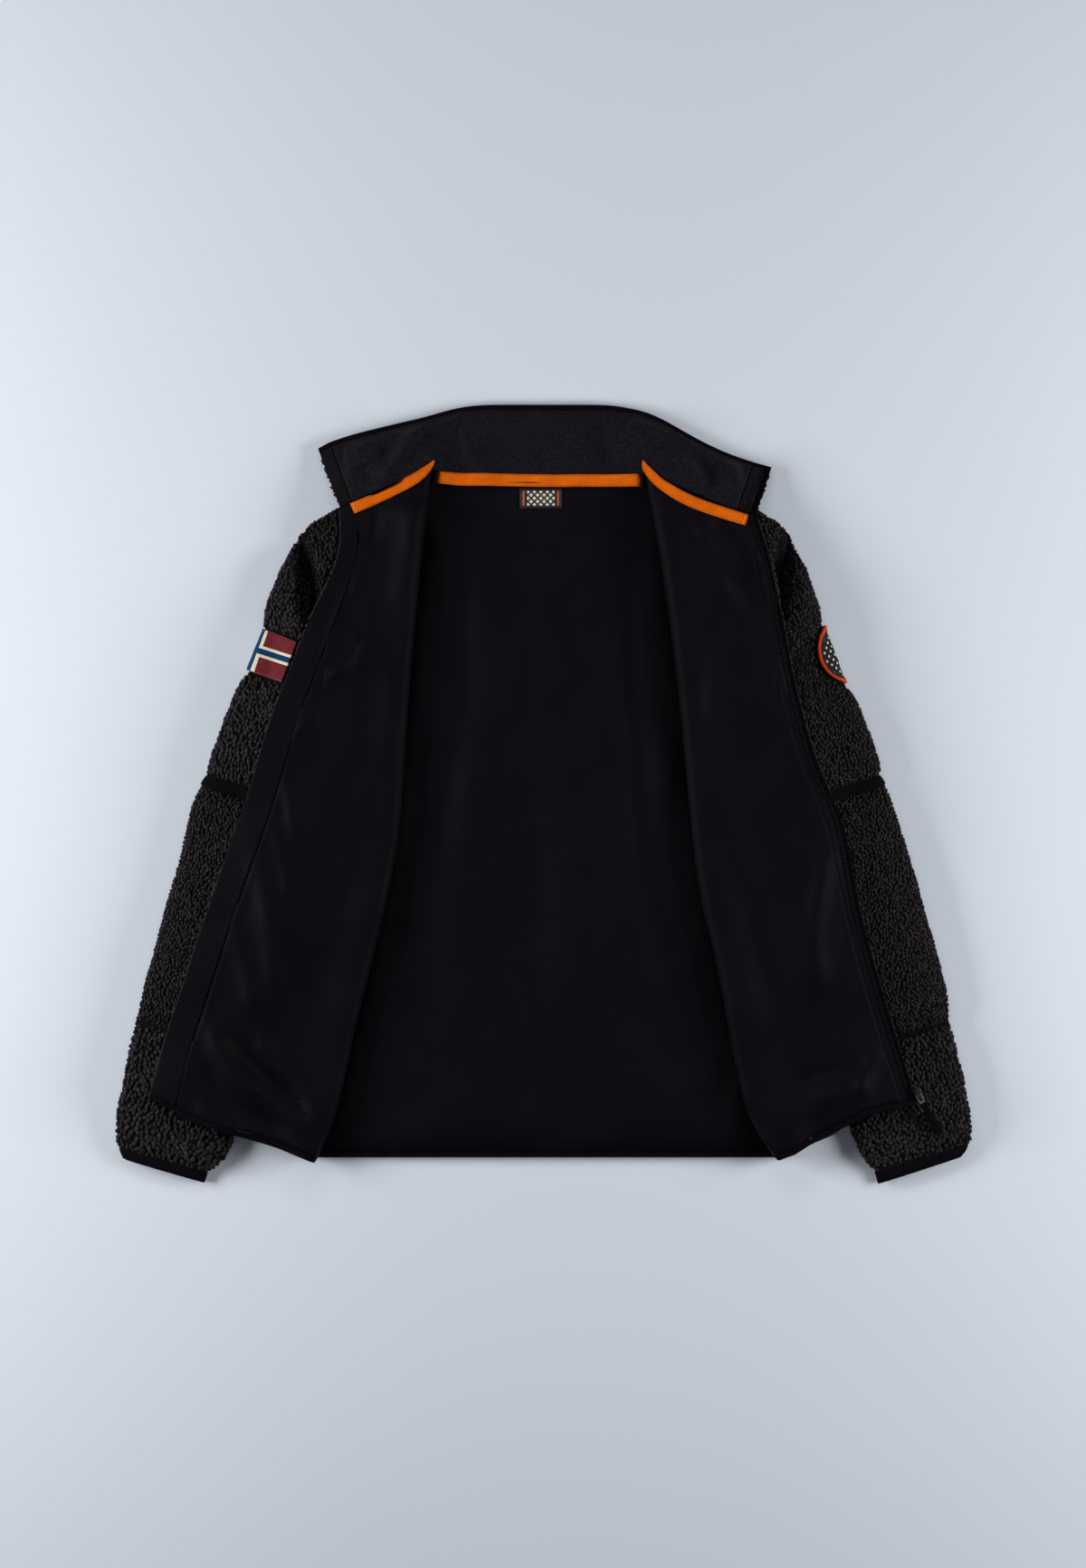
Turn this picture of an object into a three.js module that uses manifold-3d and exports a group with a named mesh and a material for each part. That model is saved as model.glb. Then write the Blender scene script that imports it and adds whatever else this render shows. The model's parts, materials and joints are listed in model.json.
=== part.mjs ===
// A pile-fleece zip jacket with a stand collar, laid on its back with both fronts turned open.
// Millimetres. +X is the wearer's left, +Y points to the collar and +Z is up from the floor.
// While it is built, x = 0 is the centre back and y = 0 is the back hem.
import * as THREE from "three";
import { mergeVertices } from "three/addons/utils/BufferGeometryUtils.js";
import Module from "manifold-3d";

// ---- driving dimensions -------------------------------------------------------------------
const SEAM = 0.3; // clear space kept between neighbouring pieces
const SHELL = 6; // curly pile fleece of the body, back to pile tips
const LINING = 1.2;
const COLLAR_SHELL = 5;
const MICROFLEECE = 1.8;
const TAPE = 1; // neck tape and zip tape
const FLAP = 1.6; // wind flap and chin guard
const BODY_LENGTH = 690; // back hem to back neck
const NECK_HALF = 113;
const NECK_RISE = 14; // how far the neckline climbs from the centre back to the neck points
const SHOULDER_HALF = 248.5;
const SHOULDER_TIP = 633;
const SLEEVE_SLIT = 3; // air left between the two walls of a flattened sleeve
const SLEEVE_WALL = 14; // wall at a sleeve's rounded edges
const FLAP_WIDTH = 26;
const ZIP_TAPE_WIDTH = 15;
const FRONT_ROWS = 16;
const BACK_COLUMNS = 18;
const SLEEVE_SIDES = 20;
const LABEL = { width: 43, height: 20, x: -5, y: 671.5, thick: 0.9 };
const NECK_TAPE = 10.5; // its width
const FLAG = { over: 42, under: 16, thick: 1.2 };
const BADGE = { radius: 29.5, thick: 2.2, beyond: 7.5, under: 18, y: 511.5 };
const SLIDER = { x: 376.5, y: 66, length: 13.5, width: 10 };
const PULL = { strap: 41, width: 8, thick: 2.2, turn: 30 }; // turn is from -Y towards +X, in degrees

// Heights of the stacked layers in the body, from the floor.
const BACK_LINING_Z = SHELL + SEAM;
const BACK_TOP = BACK_LINING_Z + LINING;
const LOWER_MID = BACK_TOP + SEAM + LINING + SEAM + SHELL / 2;
const LOWER_TOP = LOWER_MID + SHELL / 2;
const COLLAR_FACE = COLLAR_SHELL + SEAM + MICROFLEECE;
const LINING_OUT = SHELL / 2 + SEAM; // lining's inner face, from the shell's middle

// Half width of the body at each height: side seam, underarm and armhole.
const bodySide = [
  { y: 0, x: 243 },
  { y: 90, x: 246 },
  { y: 200, x: 251 },
  { y: 320, x: 257 },
  { y: 420, x: 262 },
  { y: 462, x: 246 },
  { y: 505, x: 235.6 },
  { y: 522, x: 235.2 },
  { y: 546, x: 233.2 },
  { y: 575, x: 238.2 },
  { y: 605, x: 243.4 },
  { y: 633, x: 248.5 },
];

// Shoulder seam from the sleeve head in to the neck point.
const shoulder = [
  { x: 113, y: 703 },
  { x: 160, y: 684 },
  { x: 208, y: 664 },
  { x: 230, y: 654 },
  { x: 243, y: 642 },
  { x: 248.5, y: 633 },
];

// Each side of the jacket. sign is the side of x = 0 that it lies on, and x is a distance from it.
// fold is the crest where the front turns open, edge its zip edge, both from hem to neck.
const rightSide = {
  name: "right",
  sign: -1,
  strip: FLAP_WIDTH,
  fold: [
    { x: 234, y: -4 },
    { x: 217, y: 28 },
    { x: 193, y: 132 },
    { x: 168.5, y: 230 },
    { x: 150, y: 316 },
    { x: 139, y: 463 },
    { x: 129, y: 580 },
    { x: 116, y: 701 },
  ],
  edge: [
    { x: 400, y: 70 },
    { x: 393, y: 98 },
    { x: 374.5, y: 152 },
    { x: 347, y: 236 },
    { x: 318, y: 318 },
    { x: 295, y: 385 },
    { x: 278, y: 446 },
    { x: 257, y: 497 },
    { x: 238, y: 549 },
    { x: 220, y: 583 },
    { x: 205, y: 622 },
    { x: 209, y: 661 },
  ],
};
const leftSide = {
  name: "left",
  sign: 1,
  strip: ZIP_TAPE_WIDTH,
  fold: [
    { x: 234, y: 0 },
    { x: 210, y: 26 },
    { x: 193, y: 89 },
    { x: 170, y: 212 },
    { x: 156.5, y: 260 },
    { x: 142, y: 389 },
    { x: 132.5, y: 488 },
    { x: 117, y: 604 },
    { x: 100, y: 701 },
  ],
  edge: [
    { x: 374.5, y: 60 },
    { x: 365, y: 90 },
    { x: 340.5, y: 168 },
    { x: 316.5, y: 255 },
    { x: 298, y: 345 },
    { x: 273, y: 402 },
    { x: 248.5, y: 494 },
    { x: 230, y: 598 },
    { x: 213, y: 653 },
  ],
};

// Sleeve sections: out is the outer edge in plan, in the inner edge, height the flattened height
// and lift how far the underside stands off the floor.
rightSide.sleeve = {
  upper: [
    { outX: 250, outY: 637, inX: 235.6, inY: 548, height: 15, lift: 0 },
    { outX: 264, outY: 613, inX: 236.2, inY: 540, height: 21, lift: 0 },
    { outX: 277, outY: 588, inX: 236.6, inY: 532, height: 25, lift: 0 },
    { outX: 285.5, outY: 563, inX: 226, inY: 520, height: 27, lift: 0 },
    { outX: 289.5, outY: 546, inX: 196, inY: 503, height: 26, lift: 0 },
    { outX: 288, outY: 538, inX: 173, inY: 492, height: 19, lift: 1.5 },
    { outX: 287, outY: 534, inX: 172.5, inY: 489, height: 16.5, lift: 3 },
    { outX: 302.5, outY: 495.5, inX: 184, inY: 455, height: 16.5, lift: 3 },
    { outX: 305, outY: 492, inX: 185, inY: 452, height: 19, lift: 1.5 },
    { outX: 311.5, outY: 488, inX: 187, inY: 448, height: 25, lift: 0 },
    { outX: 325, outY: 458, inX: 197, inY: 417, height: 28, lift: 0 },
    { outX: 337.5, outY: 423, inX: 208, inY: 384, height: 28, lift: 0 },
    { outX: 345.5, outY: 401, inX: 217, inY: 363, height: 25, lift: 0 },
    { outX: 346.5, outY: 389, inX: 219, inY: 351, height: 18, lift: 0 },
  ],
  forearm: [
    { outX: 352, outY: 380.5, inX: 224, inY: 341, height: 18, lift: 0 },
    { outX: 357, outY: 373.5, inX: 227.5, inY: 333, height: 25, lift: 0 },
    { outX: 363, outY: 355, inX: 233, inY: 316, height: 28, lift: 0 },
    { outX: 371, outY: 315, inX: 245, inY: 277, height: 28, lift: 0 },
    { outX: 386.5, outY: 264, inX: 262, inY: 226, height: 28, lift: 0 },
    { outX: 401, outY: 208, inX: 278, inY: 171, height: 27, lift: 0 },
    { outX: 413.5, outY: 166, inX: 290, inY: 129, height: 25, lift: 0 },
    { outX: 418.5, outY: 140, inX: 294, inY: 104, height: 19, lift: 0 },
  ],
  lower: [
    { outX: 418.6, outY: 139.6, inX: 294.1, inY: 103.6, height: 19, lift: 0 },
    { outX: 425, outY: 117, inX: 300, inY: 82, height: 25, lift: 0 },
    { outX: 432.5, outY: 73, inX: 308, inY: 38, height: 25, lift: 0 },
    { outX: 439.5, outY: 32, inX: 322, inY: 1, height: 22, lift: 0 },
    { outX: 438.5, outY: 16, inX: 336, inY: -11, height: 17, lift: 0 },
    { outX: 435.5, outY: 9.5, inX: 343.5, inY: -15.5, height: 14, lift: 0 },
  ],
  cuff: [
    { outX: 435.4, outY: 9.15, inX: 343.6, inY: -15.85, height: 14, lift: 0 },
    { outX: 432.4, outY: -1, inX: 347, inY: -26, height: 12, lift: 0 },
  ],
};
leftSide.sleeve = {
  upper: [
    { outX: 249.5, outY: 634, inX: 235.6, inY: 548, height: 15, lift: 0 },
    { outX: 263, outY: 606, inX: 236.2, inY: 540, height: 21, lift: 0 },
    { outX: 273.5, outY: 579, inX: 236.6, inY: 532, height: 25, lift: 0 },
    { outX: 281, outY: 558, inX: 228, inY: 525, height: 27, lift: 0 },
    { outX: 283, outY: 550, inX: 196, inY: 506, height: 26, lift: 0 },
    { outX: 280.5, outY: 543, inX: 173, inY: 490, height: 20, lift: 3 },
    { outX: 292, outY: 512, inX: 180, inY: 470, height: 19, lift: 4 },
    { outX: 303.5, outY: 481.5, inX: 188, inY: 443, height: 20, lift: 3 },
    { outX: 314, outY: 475, inX: 190, inY: 437, height: 26, lift: 0 },
    { outX: 327.5, outY: 445, inX: 199, inY: 407, height: 28, lift: 0 },
    { outX: 337.5, outY: 417, inX: 209, inY: 379, height: 28, lift: 0 },
    { outX: 342.5, outY: 399, inX: 215, inY: 361, height: 25, lift: 0 },
    { outX: 341.5, outY: 389, inX: 218, inY: 351, height: 18, lift: 0 },
  ],
  forearm: [
    { outX: 346.5, outY: 381, inX: 221, inY: 342, height: 18, lift: 0 },
    { outX: 352, outY: 370, inX: 225, inY: 331, height: 25, lift: 0 },
    { outX: 360, outY: 345, inX: 231, inY: 306, height: 28, lift: 0 },
    { outX: 369, outY: 318, inX: 240, inY: 280, height: 28, lift: 0 },
    { outX: 383, outY: 267, inX: 258, inY: 229, height: 28, lift: 0 },
    { outX: 399.5, outY: 211, inX: 275, inY: 174, height: 27, lift: 0 },
    { outX: 412.5, outY: 162, inX: 287, inY: 125, height: 25, lift: 0 },
    { outX: 411.5, outY: 138.5, inX: 288.5, inY: 104, height: 19, lift: 0 },
  ],
  lower: [
    { outX: 411.6, outY: 138.1, inX: 288.6, inY: 103.6, height: 19, lift: 0 },
    { outX: 418.5, outY: 121, inX: 294, inY: 86, height: 25, lift: 0 },
    { outX: 428, outY: 76, inX: 304, inY: 41, height: 25, lift: 0 },
    { outX: 435.5, outY: 36, inX: 317, inY: 4, height: 22, lift: 0 },
    { outX: 435, outY: 21, inX: 329, inY: -9, height: 17, lift: 0 },
    { outX: 431.6, outY: 14, inX: 335, inY: -15, height: 14, lift: 0 },
  ],
  cuff: [
    { outX: 431.5, outY: 13.65, inX: 335.1, inY: -15.35, height: 14, lift: 0 },
    { outX: 427.5, outY: 2, inX: 338.5, inY: -27, height: 12, lift: 0 },
  ],
};

// The collar from the right front round to the left front: its seam, its top edge and the height
// of its underside at each.
const collarSections = [
  { seamX: -209, seamY: 661.6, topX: -232, topY: 722, seamZ: 17.5, topZ: 2 },
  { seamX: -186, seamY: 671.5, topX: -209, topY: 733, seamZ: 17.5, topZ: 2 },
  { seamX: -150, seamY: 687, topX: -158, topY: 746, seamZ: 17.3, topZ: 2 },
  { seamX: -120, seamY: 699.9, topX: -120, topY: 755, seamZ: 16.8, topZ: 1 },
  { seamX: -103, seamY: 700.5, topX: -93, topY: 763, seamZ: 9, topZ: 0 },
  { seamX: -84, seamY: 697, topX: -66, topY: 766.5, seamZ: 1, topZ: 0 },
  { seamX: -50, seamY: 692, topX: -38, topY: 766.8, seamZ: 0, topZ: 0 },
  { seamX: 0, seamY: 691, topX: 0, topY: 766.8, seamZ: 0, topZ: 0 },
  { seamX: 42, seamY: 690.5, topX: 36, topY: 766.8, seamZ: 0, topZ: 0 },
  { seamX: 70, seamY: 694, topX: 62, topY: 766.5, seamZ: 1, topZ: 0 },
  { seamX: 88, seamY: 697.5, topX: 84, topY: 763.5, seamZ: 9, topZ: 0 },
  { seamX: 104, seamY: 699.9, topX: 112, topY: 756, seamZ: 16.8, topZ: 1 },
  { seamX: 135, seamY: 686.6, topX: 152, topY: 733, seamZ: 17.3, topZ: 2 },
  { seamX: 172, seamY: 671, topX: 190, topY: 715, seamZ: 17.5, topZ: 2 },
  { seamX: 213, seamY: 653.6, topX: 230, topY: 703, seamZ: 17.5, topZ: 2 },
];

// Soft ridges in the back lining, each a line with a width and a height.
const backRidges = [
  { x: -8, low: 20, high: 560, lean: 22, width: 34, rise: 2.6 },
  { x: 58, low: 60, high: 620, lean: -10, width: 26, rise: 3 },
  { x: 104, low: 20, high: 470, lean: -30, width: 24, rise: 2.4 },
  { x: -92, low: 20, high: 430, lean: 36, width: 28, rise: 2.4 },
];

// ---- small helpers --------------------------------------------------------------------------
const clamp = (value, low, high) => Math.min(high, Math.max(low, value));
const mix = (a, b, share) => a + (b - a) * share;

function smooth(low, high, value) {
  const share = clamp((value - low) / (high - low), 0, 1);
  return share * share * (3 - 2 * share);
}

// Straight-line reading of a table: the value of one column where another has the given value.
function readTable(rows, keyColumn, column, value) {
  if (value <= rows[0][keyColumn]) return rows[0][column];
  for (let i = 1; i < rows.length; i += 1) {
    const before = rows[i - 1];
    const after = rows[i];
    if (value <= after[keyColumn]) {
      const share = (value - before[keyColumn]) / (after[keyColumn] - before[keyColumn]);
      return mix(before[column], after[column], share);
    }
  }
  return rows[rows.length - 1][column];
}

function spline(points) {
  const knots = points.map((p) => new THREE.Vector3(p.x, p.y, 0));
  return new THREE.CatmullRomCurve3(knots, false, "centripetal");
}

// ---- closed bodies from grids of points -------------------------------------------------------
function bodyFrom(positions, triangles) {
  let volume = 0;
  for (const [a, b, c] of triangles) {
    volume += positions[a].dot(new THREE.Vector3().crossVectors(positions[b], positions[c]));
  }
  const facing = volume < 0 ? triangles.map(([a, b, c]) => [a, c, b]) : triangles;
  const geometry = new THREE.BufferGeometry();
  geometry.setAttribute(
    "position",
    new THREE.Float32BufferAttribute(positions.flatMap((p) => [p.x, p.y, p.z]), 3),
  );
  geometry.setIndex(facing.flat());
  geometry.computeVertexNormals();
  return geometry;
}

// A wall between two grids of the same size: both faces and the four edges.
function wallBetween(upper, lower) {
  const rows = upper.length;
  const columns = upper[0].length;
  const positions = [...upper.flat(), ...lower.flat()];
  const top = (i, j) => i * columns + j;
  const under = (i, j) => rows * columns + i * columns + j;
  const triangles = [];
  const quad = (a, b, c, d) => triangles.push([a, b, c], [a, c, d]);
  for (let i = 0; i + 1 < rows; i += 1) {
    for (let j = 0; j + 1 < columns; j += 1) {
      quad(top(i, j), top(i, j + 1), top(i + 1, j + 1), top(i + 1, j));
      quad(under(i, j), under(i + 1, j), under(i + 1, j + 1), under(i, j + 1));
    }
    quad(top(i, 0), top(i + 1, 0), under(i + 1, 0), under(i, 0));
    quad(top(i + 1, columns - 1), top(i, columns - 1), under(i, columns - 1), under(i + 1, columns - 1));
  }
  for (let j = 0; j + 1 < columns; j += 1) {
    quad(top(0, j + 1), top(0, j), under(0, j), under(0, j + 1));
    quad(top(rows - 1, j), top(rows - 1, j + 1), under(rows - 1, j + 1), under(rows - 1, j));
  }
  return bodyFrom(positions, triangles);
}

// Normals of a grid, from its neighbours.
function gridNormals(grid) {
  const last = grid.length - 1;
  return grid.map((row, i) =>
    row.map((point, j) => {
      const along = grid[Math.min(last, i + 1)][j].clone().sub(grid[Math.max(0, i - 1)][j]);
      const across = row[Math.min(row.length - 1, j + 1)].clone().sub(row[Math.max(0, j - 1)]);
      return across.cross(along).normalize();
    }),
  );
}

// A wall over some rows and columns of a surface, from its points moved out by two distances.
function wallOn(surface, rows, columns, inner, outer) {
  const moved = (distance) =>
    surface.grid.slice(rows[0], rows[1] + 1).map((row, i) =>
      row.slice(columns[0], columns[1] + 1).map((point, j) => {
        const normal = surface.normals[i + rows[0]][j + columns[0]];
        return point.clone().addScaledVector(normal, distance * surface.facing);
      }),
    );
  return wallBetween(moved(outer), moved(inner));
}

// A tube from closed rings, with an inner ring for each outer one.
function tubeBetween(outer, inner) {
  const rings = outer.length;
  const sides = outer[0].length;
  const positions = [...outer.flat(), ...inner.flat()];
  const out = (i, j) => i * sides + (j % sides);
  const inside = (i, j) => rings * sides + i * sides + (j % sides);
  const triangles = [];
  const quad = (a, b, c, d) => triangles.push([a, b, c], [a, c, d]);
  for (let j = 0; j < sides; j += 1) {
    for (let i = 0; i + 1 < rings; i += 1) {
      quad(out(i, j), out(i, j + 1), out(i + 1, j + 1), out(i + 1, j));
      quad(inside(i, j), inside(i + 1, j), inside(i + 1, j + 1), inside(i, j + 1));
    }
    quad(out(0, j), inside(0, j), inside(0, j + 1), out(0, j + 1));
    quad(out(rings - 1, j), out(rings - 1, j + 1), inside(rings - 1, j + 1), inside(rings - 1, j));
  }
  return bodyFrom(positions, triangles);
}

// ---- the body's outline ----------------------------------------------------------------------
const halfWidth = (y) => readTable(bodySide, "y", "x", y);

function topOfBack(x) {
  const out = Math.abs(x);
  if (out >= NECK_HALF) return readTable(shoulder, "x", "y", out);
  return BODY_LENGTH - 1 + NECK_RISE * (out / NECK_HALF) ** 4;
}

function backPoint(u, v, z) {
  const x = u * halfWidth(v * SHOULDER_TIP);
  return new THREE.Vector3(x, v * topOfBack(u * SHOULDER_HALF), z);
}

// How far outside the body's outline a point lies, measured across.
function outsideBody(x, y) {
  const out = Math.abs(x);
  if (y <= SHOULDER_TIP) return out - halfWidth(Math.max(0, y));
  if (y >= topOfBack(0)) return y - topOfBack(out) + 10;
  return y - topOfBack(Math.min(out, SHOULDER_HALF));
}

function ridgeHeight(x, y) {
  return backRidges.reduce((sum, ridge) => {
    const centre = ridge.x + (ridge.lean * (ridge.high - y)) / (ridge.high - ridge.low);
    const across = Math.exp(-(((x - centre) / ridge.width) ** 2));
    const start = smooth(ridge.low - 60, ridge.low + 80, y);
    const along = start * (1 - smooth(ridge.high - 140, ridge.high, y));
    return sum + ridge.rise * across * along;
  }, 0);
}

// The back lies between the two fold crests, and its lining only rises there.
function backLiningLift(x, y) {
  const side = x < 0 ? rightSide : leftSide;
  const crest = readTable(side.fold, "y", "x", y);
  return ridgeHeight(x, y) * (1 - smooth(crest - 45, crest - 12, Math.abs(x)));
}

function gridOf(rowCount, columnCount, pointAt) {
  return Array.from({ length: rowCount + 1 }, (_, i) =>
    Array.from({ length: columnCount + 1 }, (__, j) => pointAt(i / rowCount, j / columnCount)),
  );
}

const BACK_HEM_V = 0.0075; // share of the back's length in its hem binding
const backHeights = [5.2, 70, 140, 200, 260, 320, 370, 420, 462, 505, 546, 590, SHOULDER_TIP];

function backGrid(pointAt) {
  return backHeights.map((height) =>
    Array.from({ length: BACK_COLUMNS + 1 }, (_, j) =>
      pointAt((2 * j) / BACK_COLUMNS - 1, height / SHOULDER_TIP),
    ),
  );
}

function backShell() {
  const at = (z) => backGrid((u, v) => backPoint(u, v, z));
  return wallBetween(at(SHELL), at(0));
}

function backHemBinding() {
  const at = (z) => gridOf(1, BACK_COLUMNS, (v, share) => backPoint(share * 2 - 1, v * BACK_HEM_V, z));
  return wallBetween(at(BACK_TOP), at(0));
}

function backLining() {
  const at = (z) =>
    backGrid((u, v) => {
      const point = backPoint(u, v, z);
      point.z += backLiningLift(point.x, point.y);
      return point;
    });
  return wallBetween(at(BACK_TOP), at(BACK_LINING_Z));
}

// ---- sleeves -----------------------------------------------------------------------------------
// The sleeve's underside lies on the floor outside the body, and on the turned front over it.
const onBody = (x, y) => 1 - smooth(14, 44, outsideBody(x, y));
const RIDE_HEIGHT = LOWER_TOP + 1.4;
const SQUEEZE = 0.4; // share of its height that the sleeve loses where it lies on the body

const rideShare = (row) => smooth(548, 533, row.inY);

// One point of a sleeve section: share is 0 at the outer edge and 1 at the inner one,
// level is 0 at the underside and 1 at the top.
function sleevePoint(side, row, share, level) {
  const x = mix(row.outX, row.inX, share);
  const y = mix(row.outY, row.inY, share);
  const riding = onBody(x, y) * rideShare(row);
  const height = row.height * (1 - SQUEEZE * riding);
  return new THREE.Vector3(side.sign * x, y, RIDE_HEIGHT * riding + row.lift + height * level);
}

function sleeveRing(side, row, hollow) {
  const width = Math.hypot(row.outX - row.inX, row.outY - row.inY);
  const inset = hollow ? SLEEVE_WALL / width : 0;
  return Array.from({ length: SLEEVE_SIDES }, (_, k) => {
    const angle = (k / SLEEVE_SIDES) * Math.PI * 2;
    const across = Math.sign(Math.cos(angle)) * Math.abs(Math.cos(angle)) ** 0.8;
    const bulge = Math.abs(Math.sin(angle)) ** 0.7;
    const up = Math.sin(angle) > 0 ? bulge : -Math.min(1, bulge * 1.15);
    const share = mix(inset, 1 - inset, 0.5 - 0.5 * across);
    const level = hollow ? 0.5 + (up * SLEEVE_SLIT) / 2 / row.height : 0.5 + 0.5 * up;
    return sleevePoint(side, row, share, level);
  });
}

// Rows between two stations of a section, close enough for its curve.
function finerRows(rows, longest) {
  const fine = [rows[0]];
  for (let i = 1; i < rows.length; i += 1) {
    const before = rows[i - 1];
    const after = rows[i];
    const apart = Math.hypot(after.outX - before.outX, after.outY - before.outY);
    const steps = Math.max(1, Math.ceil(apart / longest));
    for (let k = 1; k <= steps; k += 1) {
      fine.push(
        Object.fromEntries(Object.keys(before).map((key) => [key, mix(before[key], after[key], k / steps)])),
      );
    }
  }
  return fine;
}

function sleeveTube(side, rows) {
  const fine = finerRows(rows, 40);
  return tubeBetween(
    fine.map((row) => sleeveRing(side, row, false)),
    fine.map((row) => sleeveRing(side, row, true)),
  );
}

// The recessed band at the elbow fills the space between two sections.
function elbowRows(side) {
  const above = side.sleeve.upper[side.sleeve.upper.length - 1];
  const below = side.sleeve.forearm[0];
  const row = (share) => {
    const made = Object.fromEntries(Object.keys(above).map((key) => [key, mix(above[key], below[key], share)]));
    return { ...made, height: made.height - 1.5 };
  };
  return [row(0.05), row(0.95)];
}

const allSleeveRows = (side) => [
  ...side.sleeve.upper,
  ...side.sleeve.forearm,
  ...side.sleeve.lower,
  ...side.sleeve.cuff,
];

// Top of the sleeve under a point, or 0 beside it.
function sleeveTop(side, x, y) {
  const rows = allSleeveRows(side);
  const across = (row) => {
    const dx = row.inX - row.outX;
    const dy = row.inY - row.outY;
    const past = (x - row.outX) * dy - (y - row.outY) * dx;
    const along = (x - row.outX) * dx + (y - row.outY) * dy;
    return { past, share: along / (dx * dx + dy * dy) };
  };
  for (let i = 1; i < rows.length; i += 1) {
    const a = across(rows[i - 1]);
    const b = across(rows[i]);
    if (a.past * b.past > 0) continue;
    const part = a.past / (a.past - b.past || 1);
    const share = mix(a.share, b.share, part);
    if (share < 0 || share > 1) continue;
    const row = Object.fromEntries(
      Object.keys(rows[i]).map((key) => [key, mix(rows[i - 1][key], rows[i][key], part)]),
    );
    const round = Math.max(0, 1 - Math.abs(2 * share - 1) ** 2.5) ** 0.35;
    return sleevePoint(side, row, share, 0.5 + 0.5 * round).z;
  }
  return 0;
}

// ---- fronts ------------------------------------------------------------------------------------
// What the opened front lies on, before it is smoothed.
function stackTop(side, x, y) {
  const outside = outsideBody(x, y);
  const body = outside < 2 && y > -6 ? LOWER_TOP : 0;
  return Math.max(body, sleeveTop(side, x, y));
}

const drapeCache = new Map();
const DRAPE_STEP = 9;
const DRAPE_CLEAR = 2;

function stackCell(side, i, j) {
  const key = `${side.name} ${i} ${j}`;
  if (!drapeCache.has(key)) drapeCache.set(key, stackTop(side, i * DRAPE_STEP, j * DRAPE_STEP));
  return drapeCache.get(key);
}

// The cloth bridges hollows: the highest of what is near, then the mean of that.
function drape(side, x, y) {
  const ci = Math.round(x / DRAPE_STEP);
  const cj = Math.round(y / DRAPE_STEP);
  let sum = 0;
  let weight = 0;
  for (let i = -2; i <= 2; i += 1) {
    for (let j = -2; j <= 2; j += 1) {
      let highest = 0;
      for (let a = -2; a <= 2; a += 1) {
        for (let b = -3; b <= 3; b += 1) {
          highest = Math.max(highest, stackCell(side, ci + i + a, cj + j + b));
        }
      }
      const near = 1 / (1 + i * i + j * j);
      sum += highest * near;
      weight += near;
    }
  }
  return sum / weight;
}

const frontLines = new Map(
  [rightSide, leftSide].map((side) => [
    side,
    {
      fold: spline(side.fold),
      edge: spline(side.edge),
      side: spline([
        { x: 243, y: 0 },
        { x: 251, y: 200 },
        { x: 262, y: 418 },
        { x: 237.5, y: 500 },
        { x: 233.2, y: 546 },
        { x: 241, y: 592 },
        { x: 247.5, y: 630 },
      ]),
    },
  ]),
);

const FOLD_INSET = LINING_OUT + LINING; // the crest is the lining's face, the path the shell's middle
const rollRadius = (v) => mix(4.6, 6.6, Math.sin(Math.PI * clamp(v, 0, 1)));

// A point of a front's middle surface. v runs from hem to neck. zone is lower, roll or upper, and
// t runs through it from 0 to 1. stripShare, 1 to 0, is a place across the strip by the zip edge.
function frontPoint(side, v, { zone, t, stripShare }) {
  const lines = frontLines.get(side);
  const crest = lines.fold.getPointAt(v);
  const edge = lines.edge.getPointAt(v);
  const seamRow = Math.min(1, v / 0.93);
  const seam = lines.side.getPointAt(seamRow);
  if (v > 0.93) {
    const up = (v - 0.93) / 0.07;
    const x = mix(247.5, 236, up);
    seam.set(x, readTable(shoulder, "x", "y", x) - 1, 0);
    if (up === 0) seam.y = 630;
  }
  const outward = new THREE.Vector3().subVectors(edge, crest).normalize();
  const back = new THREE.Vector3().subVectors(seam, crest).normalize();
  const radius = rollRadius(v);
  const fold = crest.clone().addScaledVector(back.clone().add(outward).normalize(), FOLD_INSET);
  const point = new THREE.Vector3();
  if (zone === "lower") {
    const start = fold.clone().addScaledVector(back, radius);
    point.lerpVectors(seam, start, t);
    point.z = LOWER_MID;
  } else if (zone === "roll") {
    const angle = (t - 0.5) * Math.PI;
    const direction = back.clone().lerp(outward, t).normalize();
    point.copy(fold).addScaledVector(direction, radius * (1 - Math.cos(angle)));
    point.z = LOWER_MID + radius + radius * Math.sin(angle);
  } else {
    const start = fold.clone().addScaledVector(outward, radius);
    const length = start.distanceTo(edge);
    const strip = mix(side.strip, ZIP_TAPE_WIDTH, smooth(0.8, 1, v));
    const run = stripShare === undefined ? t * (length - strip - SEAM) : length - strip * stripShare;
    point.copy(start).addScaledVector(outward, run);
    const rolled = LOWER_MID + radius * 2;
    const lying = drape(side, point.x, point.y) + DRAPE_CLEAR + SHELL / 2;
    const settle = Math.max(rolled - 0.12 * run, lying);
    point.z = mix(rolled, settle, smooth(0, 26, run));
  }
  point.x *= side.sign;
  return point;
}

// Columns of a front: the lower layer, the roll, the open layer and the strip by the zip edge.
const stations = [
  ...[0, 0.25, 0.5, 0.75].map((t) => ({ zone: "lower", t })),
  ...[0, 0.2, 0.4, 0.6, 0.8].map((t) => ({ zone: "roll", t })),
  ...[0, 0.12, 0.25, 0.4, 0.55, 0.7, 0.85, 1].map((t) => ({ zone: "upper", t })),
  ...[1, 0.5, 0].map((stripShare) => ({ zone: "upper", stripShare })),
];
const LAST_COLUMN = stations.length - 1;
const STRIP_COLUMN = LAST_COLUMN - 2;

// Rows of a front: three for the hem binding, then the panel up to the neck seam.
const HEM_V = 0.0085;
const TOP_V = 0.998;
const hemRows = [0, HEM_V * 0.5, HEM_V * 0.87];
const panelRows = Array.from({ length: FRONT_ROWS + 1 }, (_, i) => mix(HEM_V, TOP_V, i / FRONT_ROWS));
const PANEL_ROW = hemRows.length;
const LAST_ROW = PANEL_ROW + FRONT_ROWS;

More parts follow.
